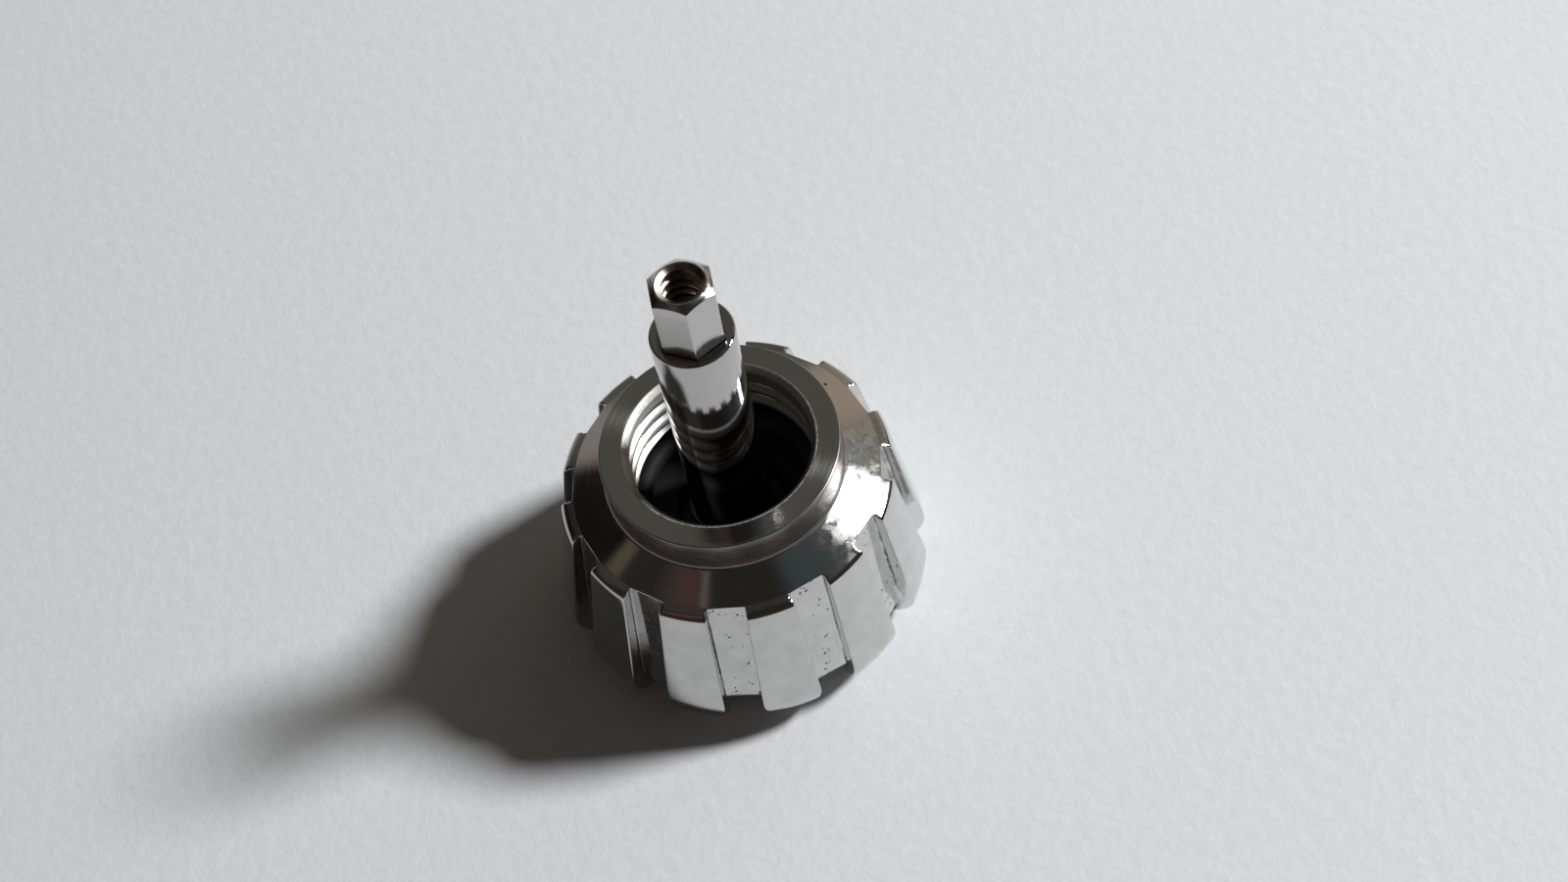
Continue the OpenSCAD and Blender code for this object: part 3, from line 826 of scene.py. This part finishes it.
def spread(tree, value, low, high, to_low=0.0, to_high=1.0, way="LINEAR"):
    """Takes the range low..high to the range to_low..to_high, and holds it there outside."""
    inputs = {"Value": value, "From Min": low, "From Max": high, "To Min": to_low, "To Max": to_high}
    return add(tree, "MapRange", inputs, interpolation_type=way).outputs[0]


# %% Patterns and colours
NOISE_LOW, NOISE_HIGH = 0.35, 0.65
FINE_MARKS = dict(detail=3.0, roughness=0.6)


def noise(tree, place, scale, detail=2.0, roughness=0.5, stretch=None):
    """Noise between about 0.3 and 0.7, from coordinates in millimetres, each multiplied by its stretch."""
    if stretch:
        place = vector(tree, "MULTIPLY", place, stretch)
    inputs = {"Vector": place, "Scale": scale, "Detail": detail, "Roughness": roughness}
    return add(tree, "TexNoise", inputs).outputs[0]


def from_noise(tree, pattern, low, high):
    """Takes the range that noise mostly keeps to, to a range of roughness or size."""
    return spread(tree, pattern, NOISE_LOW, NOISE_HIGH, low, high)


def mark(tree, label):
    """One of the numbers that were stored with the points."""
    return add(tree, "Attribute", attribute_name=label).outputs["Fac"]


def tint(tree, share, plain, other):
    """A colour between two, by a share from 0 to 1."""
    node = add(tree, "Mix", {"Factor": share}, data_type="RGBA")
    for index, colour in ((6, plain), (7, other)):
        if isinstance(colour, bpy.types.NodeSocket):
            tree.links.new(colour, node.inputs[index])
        else:
            node.inputs[index].default_value = (*colour, 1)
    return node.outputs[2]


def about_axis(tree, mm):
    """(radius, angle, height) of a point in millimetres, so that a pattern can follow turning marks."""
    parts = add(tree, "SeparateXYZ", {0: mm})
    flat = point(tree, parts.outputs[0], parts.outputs[1], 0.0)
    radius = vector(tree, "LENGTH", flat)
    angle = add(tree, "Math", {0: parts.outputs[1], 1: parts.outputs[0]}, operation="ARCTAN2").outputs[0]
    return radius, angle, parts.outputs[2]


def towards(azimuth, elevation=0.0):
    """The unit vector that points in a direction of the surroundings."""
    level = math.cos(elevation)
    return level * math.cos(azimuth), level * math.sin(azimuth), math.sin(elevation)


def facing(tree, mm, radius, azimuth):
    """1 on the side of the axis that lies towards the azimuth, 0 square to it and -1 on the far side: the
    cosine of the angle between."""
    along = vector(tree, "DOT_PRODUCT", mm, towards(azimuth))
    return add(tree, "Math", {0: along, 1: radius}, operation="DIVIDE").outputs[0]


# %% Materials and where they go
def start_material(name, **constants):
    """A Principled material with its constants set on the sockets, and its coordinates in millimetres."""
    made = bpy.data.materials.new(name)
    made.use_nodes = True
    tree = made.node_tree
    shader = tree.nodes["Principled BSDF"]
    for socket, value in constants.items():
        shader.inputs[socket.replace("_", " ")].default_value = value
    metres = add(tree, "TexCoord").outputs["Object"]
    return made, tree, shader, vector(tree, "MULTIPLY", metres, (1000, 1000, 1000))


def surface(tree, shader, colour, roughness=None, relief=None, depth_mm=0.0):
    """Links the colour, the roughness and a bump. The relief's heights run over about 0 to 1, and the
    depth in millimetres says how deep that is."""
    tree.links.new(colour, shader.inputs["Base Color"])
    if roughness is not None:
        tree.links.new(roughness, shader.inputs["Roughness"])
    if relief is not None:
        node = add(tree, "Bump", {"Height": relief, "Strength": 1.0, "Distance": depth_mm * MM})
        tree.links.new(node.outputs[0], shader.inputs["Normal"])


def worked(name, pattern_of, tones, roughest, depth_mm, per_radian=None, clouds=None, **constants):
    """A material whose roughness and bump follow one pattern. So does its colour, unless clouds gives the
    scale of a coarser noise for it. per_radian lays the pattern round the axis: the smaller the number, the
    longer the marks that run round."""
    made, tree, shader, mm = start_material(name, **constants)
    place = mm
    if per_radian:
        radius, angle, height = about_axis(tree, mm)
        place = point(tree, times(tree, angle, per_radian), height, radius)
    pattern = noise(tree, place, **pattern_of)
    colour = tint(tree, noise(tree, mm, scale=clouds) if clouds else pattern, *tones)
    surface(tree, shader, colour, from_noise(tree, pattern, *roughest), pattern, depth_mm)
    return made


def finish_zone(piece, material, test):
    """Adds a material to a piece, for the faces where the test on their middles and normals holds. The
    test gets radius and height in millimetres, and the normal's height and outward part."""
    mesh = piece.data
    mesh.materials.append(material)
    middles, normals = (np.empty(len(mesh.polygons) * 3) for _ in range(2))
    mesh.polygons.foreach_get("center", middles)
    mesh.polygons.foreach_get("normal", normals)
    middles, normals = middles.reshape(-1, 3) / MM, normals.reshape(-1, 3)
    radius = np.maximum(np.hypot(middles[:, 0], middles[:, 1]), 1e-6)
    outward = (normals[:, :2] * middles[:, :2]).sum(1) / radius
    index = np.empty(len(mesh.polygons), np.int32)
    mesh.polygons.foreach_get("material_index", index)
    chosen = test(radius, middles[:, 2], normals[:, 2], outward)
    index[chosen] = len(mesh.materials) - 1
    mesh.polygons.foreach_set("material_index", index)
    print(piece.name, material.name, int(chosen.sum()), "faces")


# %% [markdown]
# ## The barrel's polish
#
# The barrel was polished on a wheel that couldn't reach the grooves' inner corners, so those have kept
# dark compound. On the groove floors small pits are left from the milling, some fine and some coarse, in
# clusters. A pit is where a cell of a Voronoi pattern is nearer than a size that itself varies from place
# to place. The steel's colour is also painted darker towards -X and lighter towards +X: painted shade on
# the side away from the lamp and painted light on the side towards it.

# %% Polished steel
# The first two colours are painted shade at -X and painted light at +X.
SHADED_SIDE_TONE, LIT_SIDE_TONE, COMPOUND = (0.44, 0.435, 0.425), (0.73, 0.73, 0.72), (0.055, 0.04, 0.03)
PITS_PER_MM, PIT_BORDER, FINEST_PIT, COARSEST_PIT = 9.0, 0.03, 0.09, 0.34
PIT_DEPTH, FINE_DEPTH, POLISH_RELIEF = -1.5, 0.2, 0.0012

steel, tree, shader, mm = start_material("polished steel", Metallic=1.0)
wear = noise(tree, mm, scale=2.2, detail=3.0)
fine = noise(tree, mm, scale=22.0, **FINE_MARKS)
cells = {"Vector": mm, "Scale": PITS_PER_MM, "Randomness": 1.0}
to_pit = add(tree, "TexVoronoi", cells, feature="F1").outputs["Distance"]
pit_size = from_noise(tree, noise(tree, mm, scale=7.0), FINEST_PIT, COARSEST_PIT)
past_pit = add(tree, "Math", {0: to_pit, 1: pit_size}, operation="SUBTRACT").outputs[0]
pits = spread(tree, past_pit, -PIT_BORDER, PIT_BORDER, 1.0, 0.0)
clusters = spread(tree, noise(tree, mm, scale=2.4), 0.52, 0.58)
pits = times(tree, times(tree, pits, clusters), mark(tree, "floor"))
in_corner = spread(tree, mark(tree, "nook"), 0.45, 1.0)
patchy = spread(tree, noise(tree, mm, scale=3.5, detail=3.0, stretch=(1, 1, 0.45)), 0.42, 0.62, 0.12, 1.0)
compound = times(tree, times(tree, in_corner, patchy), spread(tree, fine, 0.4, 0.62, 0.35, 1.0))
dirt = larger(tree, pits, compound)
# Painted shade and light: the colour goes from dark at -X to light at +X, with random clouds over it.
along_x = add(tree, "SeparateXYZ", {0: mm}).outputs[0]
cloudy = spread(tree, wear, 0.3, 0.7, -0.14, 0.14)
painted_light_share = plus(tree, cloudy, spread(tree, along_x, -CROWN_R, CROWN_R, 0.14, 0.86))
colour = tint(tree, dirt, tint(tree, painted_light_share, SHADED_SIDE_TONE, LIT_SIDE_TONE), COMPOUND)
roughness = plus(tree, from_noise(tree, wear, 0.055, 0.11), times(tree, dirt, 0.3))
relief = plus(tree, times(tree, fine, FINE_DEPTH), times(tree, pits, PIT_DEPTH))
surface(tree, shader, colour, roughness, relief, POLISH_RELIEF)
finish_zone(head, steel, lambda r, z, up, out: r > 0)

# %% [markdown]
# ## The shoulder and the rim, as the lathe left them
#
# Their marks are too fine to see, but they run round the axis, so a reflection is smeared outward and
# inward and stays sharp sideways. The Principled shader does that with Anisotropic, if its tangent points
# away from the axis. On one side the shoulder is scuffed: a mottled haze of higher roughness, with short
# fine scratches in its bump, breaks up the lamp's reflection. A small dark pit lies on the shoulder too.
# The haze is limited by the angle from one azimuth, and it begins outside the collar.

# %% Turned steel of the shoulder and the rim
TURNED_DARK, TURNED_LIGHT, PIT_COLOUR = (0.56, 0.555, 0.54), (0.63, 0.625, 0.61), (0.03, 0.025, 0.02)
PIT, PIT_R, HAZE_AZIMUTH = (2.572, 1.339, 4.122), 0.03, math.radians(-30)
TURNING_RELIEF, SCRATCH_DEPTH, HAZE_SCRATCH_DEPTH = 0.0012, 0.15, 2.0
LOOKS_UP, ABOVE_FLANKS = 0.88, 3.5

lathe_steel, tree, shader, mm = start_material("lathe-turned steel", Metallic=1.0, Anisotropic=1.0)
radius, angle, height = about_axis(tree, mm)
away = vector(tree, "NORMALIZE", vector(tree, "MULTIPLY", mm, (1, 1, 0)))
tree.links.new(away, shader.inputs["Tangent"])
rings = point(tree, radius, height, times(tree, angle, 0.12))
turning = noise(tree, rings, scale=16.0, **FINE_MARKS)
in_pit = spread(tree, vector(tree, "DISTANCE", mm, PIT), PIT_R, PIT_R * 1.5, 1.0, 0.0)
colour = tint(tree, in_pit, tint(tree, turning, TURNED_DARK, TURNED_LIGHT), PIT_COLOUR)
haze = spread(tree, facing(tree, mm, radius, HAZE_AZIMUTH), 0.74, 0.92)
haze = times(tree, haze, spread(tree, radius, COLLAR_R, COLLAR_R + 0.1))
haze = times(tree, haze, spread(tree, noise(tree, mm, scale=4.0, detail=3.0), 0.4, 0.6, 0.45, 1.0))
mottle = noise(tree, mm, scale=9.0, detail=4.0, roughness=0.65)
hazy = times(tree, haze, from_noise(tree, mottle, 0.11, 0.30))
roughness = plus(tree, from_noise(tree, turning, 0.12, 0.16), hazy)
scratch_depth = plus(tree, times(tree, haze, HAZE_SCRATCH_DEPTH), SCRATCH_DEPTH)
scratches = times(tree, noise(tree, mm, scale=80.0, detail=2.0, roughness=0.6), scratch_depth)
surface(tree, shader, colour, roughness, plus(tree, turning, scratches), TURNING_RELIEF)
finish_zone(head, lathe_steel, lambda r, z, up, out: (z > ABOVE_FLANKS) & (up > LOOKS_UP))

# %% [markdown]
# ## The bore, as cut
#
# The thread was cut and never polished, so it scatters light widely. The lamp shines straight onto one
# side, and there the colour is painted pale: painted light. Round the rest of the bore the colour is
# painted dark, most of all at the front: painted shade. The mouth's edge is painted lighter in patches,
# a painted highlight. Tool marks run along the thread, so their noise is stretched along the angle.

# %% Thread-cut steel
# The pale tones are painted light for the side that faces the lamp, the dark ones painted shade for the rest
# of the bore.
CUT_DARK, CUT_LIGHT = (0.62, 0.60, 0.57), (0.86, 0.84, 0.81)
SHADE_AT_FRONT, SHADE_BEHIND_DARK, SHADE_BEHIND_LIGHT = (0.035, 0.032, 0.026), (0.10, 0.095, 0.08), (0.17, 0.165, 0.145)
LIT_AZIMUTH, BACK_AZIMUTH, CUT_RELIEF = math.radians(150), math.radians(90), 0.004
# Heights between which the mouth's edge gets a painted highlight.
EDGE_HIGHLIGHT_LOW_Z, EDGE_HIGHLIGHT_HIGH_Z = CROWN_H - 0.035, CROWN_H - 0.015

cut_steel, tree, shader, mm = start_material("thread-cut steel", Metallic=0.5)
radius, angle, height = about_axis(tree, mm)
unrolled = point(tree, times(tree, angle, 1.2), height, 0.0)
tool_marks = noise(tree, unrolled, scale=14.0, detail=3.0, roughness=0.65)
towards_back = facing(tree, mm, radius, BACK_AZIMUTH)
# Painted shade: darkest at the front of the bore, a little lighter behind.
shade_behind = tint(tree, tool_marks, SHADE_BEHIND_DARK, SHADE_BEHIND_LIGHT)
painted_shade = tint(tree, spread(tree, towards_back, -0.4, 0.2), SHADE_AT_FRONT, shade_behind)
# A painted highlight in patches along the mouth's edge, stronger at the front than behind.
painted_edge_highlight = spread(tree, height, EDGE_HIGHLIGHT_LOW_Z, EDGE_HIGHLIGHT_HIGH_Z)
painted_edge_highlight = times(tree, painted_edge_highlight, spread(tree, towards_back, -0.1, 0.6, 0.6, 0.15))
painted_edge_highlight = times(tree, painted_edge_highlight, spread(tree, noise(tree, mm, scale=12.0), 0.4, 0.6, 0.4, 1.0))
# Painted light on the side of the bore that faces the lamp, together with the painted highlight on the
# mouth's edge.
painted_lit_side = larger(tree, spread(tree, facing(tree, mm, radius, LIT_AZIMUTH), 0.45, 0.9), painted_edge_highlight)
colour = tint(tree, painted_lit_side, painted_shade, tint(tree, tool_marks, CUT_DARK, CUT_LIGHT))
surface(tree, shader, colour, from_noise(tree, tool_marks, 0.38, 0.58), tool_marks, CUT_RELIEF)
bore_zone_r = BORE_R + MOUTH_CHAMFER + 0.02
finish_zone(head, cut_steel, lambda r, z, up, out: (r < bore_zone_r) & (z > 0.5) & (out < 0.5))

# %% [markdown]
# ## The collar's wall
#
# The collar's wall is turned steel too, but it was never polished and is much darker than the shoulder
# that it rises from. It is a material of its own, laid over the faces between the shoulder and the rim
# that don't look up.

# %% Dull turned steel
WALL_INNER_R = 2.3
DULL_TONES, DULL_ROUGHNESS = ((0.22, 0.20, 0.197), (0.26, 0.24, 0.237)), (0.24, 0.36)

dull_steel = worked("dull turned steel", dict(scale=18.0, **FINE_MARKS), DULL_TONES, DULL_ROUGHNESS,
    depth_mm=0.001, per_radian=0.3, Metallic=1.0)


def on_collar_wall(r, z, up, out):
    """The faces between the shoulder's foot and the rim that don't look up."""
    return (z > shoulder_z - 0.2) & (r > WALL_INNER_R) & (r < COLLAR_R + COLLAR_FILLET) & (up < LOOKS_UP)


finish_zone(head, dull_steel, on_collar_wall)

# %% [markdown]
# ## The tube and the slider
#
# The tube is the most highly polished piece, with faint marks along its length. The slider was turned and
# milled finely, and its marks run round it. The thread in its tip is painted dark, as painted shade, and
# pale on one side, as a painted glint where the lamp catches it.

# %% Polished steel of the tube
TUBE_TONES, TUBE_ROUGHNESS = ((0.48, 0.465, 0.46), (0.53, 0.515, 0.51)), (0.02, 0.045)

core_steel = worked("tube steel", dict(scale=26.0, **FINE_MARKS), TUBE_TONES, TUBE_ROUGHNESS,
    depth_mm=0.0003, per_radian=4.2, clouds=3.0, Metallic=1.0)
tube.data.materials.append(core_steel)

# %% Fine-turned steel of the slider
SLIDER_DARK, SLIDER_LIGHT = (0.53, 0.51, 0.50), (0.58, 0.56, 0.55)

slider_steel, tree, shader, mm = start_material("turned steel", Metallic=1.0)
radius, angle, height = about_axis(tree, mm)
around = point(tree, radius, times(tree, angle, 0.05), height)
turned_marks = noise(tree, around, scale=30.0, **FINE_MARKS)
colour = tint(tree, noise(tree, mm, scale=3.0), SLIDER_DARK, SLIDER_LIGHT)
surface(tree, shader, colour, from_noise(tree, turned_marks, 0.14, 0.24), turned_marks, depth_mm=0.0004)
slider.data.materials.append(slider_steel)
stop.data.materials.append(slider_steel)

# %% The tapped hole, with painted shade and a painted glint
# The two dark tones are painted shade in the hole, the pale one a painted glint on the side that faces the
# lamp.
HOLE_SHADE_DARK, HOLE_SHADE_LIGHT, GLINT_TONE = (0.16, 0.13, 0.115), (0.23, 0.19, 0.17), (0.86, 0.80, 0.72)
GLINT_AZIMUTH = math.radians(172)

tapped_steel, tree, shader, mm = start_material("tapped steel", Metallic=1.0)
tap_marks = noise(tree, mm, scale=14.0, stretch=(1, 1, 3), **FINE_MARKS)
radius = about_axis(tree, mm)[0]
# Painted glint: pale where the wall faces the lamp. The rest of the hole is painted shade.
painted_glint = spread(tree, facing(tree, mm, radius, GLINT_AZIMUTH), 0.45, 0.85)
colour = tint(tree, painted_glint, tint(tree, tap_marks, HOLE_SHADE_DARK, HOLE_SHADE_LIGHT), GLINT_TONE)
surface(tree, shader, colour, spread(tree, painted_glint, 0.0, 1.0, 0.3, 0.5), tap_marks, depth_mm=0.002)


def in_the_hole(r, z, up, out):
    """The faces inside the hole's mouth, from below its foot to just under the tip's face."""
    return (r < mouth_r) & (z > tap_low_z - 0.1) & (z < tip_z - 0.002)


finish_zone(slider, tapped_steel, in_the_hole)

# %% [markdown]
# ## The hidden steel, and the rubber
#
# The pieces inside show only where someone takes the crown apart, or looks down its bore. They still get
# the finish of their kind: drawn wire, ground faces with marks in one direction, and rubber whose fine
# grain takes away any sharp reflection. The backing washer and the tube's foot are steel painted
# near-black: painted shade at the bottom of the bore.

# %% Spring wire, ground steel, steel painted with shade, and rubber
wire_steel, tree, shader, mm = start_material("spring wire", Metallic=1.0)
colour = tint(tree, noise(tree, mm, scale=9.0), (0.42, 0.41, 0.40), (0.52, 0.51, 0.50))
surface(tree, shader, colour, from_noise(tree, noise(tree, mm, scale=30.0), 0.2, 0.36))
spring.data.materials.append(wire_steel)

GROUND_TONES, GROUND_ROUGHNESS = ((0.36, 0.36, 0.37), (0.46, 0.46, 0.47)), (0.25, 0.4)
ground_steel = worked("ground steel", dict(scale=18.0, stretch=(1, 9, 1), **FINE_MARKS), GROUND_TONES,
    GROUND_ROUGHNESS, depth_mm=0.001, Metallic=1.0)
for piece in (seat, thrust):
    piece.data.materials.append(ground_steel)

# Painted shade: near-black steel for the backing washer and the tube's foot, at the bottom of the bore.
BOTTOM_SHADE_TONES, BLACK_ROUGHNESS = ((0.035, 0.037, 0.035), (0.06, 0.062, 0.058)), (0.35, 0.5)
shade_darkened = worked("blackened steel", dict(scale=6.0, **FINE_MARKS), BOTTOM_SHADE_TONES, BLACK_ROUGHNESS,
    depth_mm=0.001, Metallic=1.0)
backing.data.materials.append(shade_darkened)
# The tube's foot gets the same painted shade.
finish_zone(tube, shade_darkened, lambda r, z, up, out: z < foot_top_z + 0.1)

rubber, tree, shader, mm = start_material("black rubber", Specular_IOR_Level=0.2)
grain = noise(tree, mm, scale=24.0, detail=4.0, roughness=0.6)
colour = tint(tree, spread(tree, grain, 0.4, 0.7), (0.008, 0.009, 0.0085), (0.012, 0.013, 0.0125))
surface(tree, shader, colour, from_noise(tree, grain, 0.58, 0.74), grain, depth_mm=0.003)
for piece in (gasket, wall_seal, foot_seal):
    piece.data.materials.append(rubber)
print(len(bpy.data.materials), "materials")

# %% [markdown]
# ## Paper
#
# The crown stands on a sheet of white paper with a slight tooth. Its colour is painted cooler and lighter
# towards the right, towards the lamp: painted light, as two tones mixed by the place along X. Polished steel
# mirrors the paper wherever it looks down, so the paper's tone is also the tone of the ridges.

# %% The sheet
FLOOR_SIZE, FADE_HALF, TOOTH = 2.0, 22.0, 0.02
LEFT_DARK, LEFT_LIGHT = (0.60, 0.612, 0.627), (0.695, 0.712, 0.73)
RIGHT_DARK, RIGHT_LIGHT = (0.805, 0.837, 0.865), (0.91, 0.945, 0.975)

corners = np.array([[-1, -1, 0], [1, -1, 0], [1, 1, 0], [-1, 1, 0]]) * FLOOR_SIZE / 2
sheet = bpy.data.meshes.new("paper")
sheet.from_pydata(corners.tolist(), [], [[0, 1, 2, 3]])
paper = into_scene("paper", sheet)
paper_white, tree, shader, mm = start_material("white paper", Roughness=0.9, Specular_IOR_Level=0.2)
fibre = noise(tree, mm, scale=3.0, detail=6.0, roughness=0.65)
# Painted light: the paper's tone goes from darker at the left to lighter and cooler at the right, towards
# the lamp.
from_left = spread(tree, add(tree, "SeparateXYZ", {0: mm}).outputs[0], -FADE_HALF, FADE_HALF)
left_tone = tint(tree, fibre, LEFT_DARK, LEFT_LIGHT)
right_tone = tint(tree, fibre, RIGHT_DARK, RIGHT_LIGHT)
surface(tree, shader, tint(tree, from_left, left_tone, right_tone), relief=fibre, depth_mm=TOOTH)
sheet.materials.append(paper_white)
print("paper", FLOOR_SIZE, "m wide")

# %% [markdown]
# ## Light and surroundings
#
# There is one lamp, off to the right and not quite 40 degrees up. A sun lamp with a wide angle gives the
# shadow its soft border. What makes polished steel look like steel is what it mirrors: below the horizon
# it is the paper, above it a dark room, brown near the horizon and olive higher up. The world is a ramp
# over the height of the viewing direction. Soft boards are laid over it, each a round patch whose edge
# fades out. A board's place follows from the spot of steel that should mirror it: the line of sight is
# turned over at that spot's normal, and the board lies where it points.

# %% The lamp
SUN_AZIMUTH, SUN_ELEVATION = math.radians(3), math.radians(39.5)
SUN_ANGLE, SUN_STRENGTH = math.radians(11), 3.75

lamp = bpy.data.lights.new("key", "SUN")
lamp.energy, lamp.angle = SUN_STRENGTH, SUN_ANGLE
key = into_scene("key", lamp)
key.rotation_euler = (0, math.pi / 2 - SUN_ELEVATION, SUN_AZIMUTH)
print("lamp", round(math.degrees(SUN_ELEVATION), 1), "degrees up")

# %% The room's ramp of tones
room = bpy.data.worlds.new("room")
bpy.context.scene.world = room
room.use_nodes = True
tree = room.node_tree
direction = add(tree, "TexCoord").outputs["Generated"]
height = add(tree, "SeparateXYZ", {0: direction}).outputs[2]
ramp = add(tree, "ValToRGB", {"Fac": height})
stops = (
    (0.0, (0.070, 0.026, 0.015)), (0.3, (0.060, 0.028, 0.018)),
    (0.5, (0.030, 0.027, 0.022)), (1.0, (0.022, 0.021, 0.018)))
while len(ramp.color_ramp.elements) < len(stops):
    ramp.color_ramp.elements.new(0.5)
for stop_mark, (place_on_ramp, colour) in zip(ramp.color_ramp.elements, stops):
    stop_mark.position, stop_mark.color = place_on_ramp, (*colour, 1)
light = ramp.outputs[0]
print(len(stops), "tones from the horizon to straight up")

# %% The boards
# Azimuth, elevation, half width and soft border in degrees, and the colour
boards = (
    (87, 55, 22, 12, (0.095, 0.093, 0.079)),
    (50, 22, 13, 8, (0.42, 0.34, 0.27)),
    (92, 5, 24, 8, (0.11, 0.10, 0.088)),
    (116, 16, 8, 5, (0.31, 0.28, 0.26)),
    (142, 34, 16, 8, (0.006, 0.006, 0.006)),
    (163, 47, 1.8, 3, (0.20, 0.165, 0.11)),
    (-158, 65, 3.5, 1.5, (0.12, 0.024, 0.022)),
    (-146, 69, 1.0, 0.8, (0.48, 0.45, 0.40)),
    (-20, 64, 12, 8, (0.06, 0.075, 0.08)),
    (-148, 54, 9, 6, (0.085, 0.06, 0.057)),
    (31, 36, 3, 6, (0.90, 0.97, 0.92)),
    (-7, 56, 3, 5, (0.20, 0.225, 0.225)))


def cosine(degrees):
    return math.cos(math.radians(degrees))


for azimuth, elevation, half_width, border, colour in boards:
    middle = towards(math.radians(azimuth), math.radians(elevation))
    agreement = vector(tree, "DOT_PRODUCT", direction, middle)
    outer, inner = cosine(half_width + border), cosine(half_width)
    light = tint(tree, spread(tree, agreement, outer, inner, way="SMOOTHSTEP"), light, colour)
tree.links.new(light, tree.nodes["Background"].inputs["Color"])
bpy.context.scene.view_settings.view_transform = "Standard"
print(len(boards), "boards")
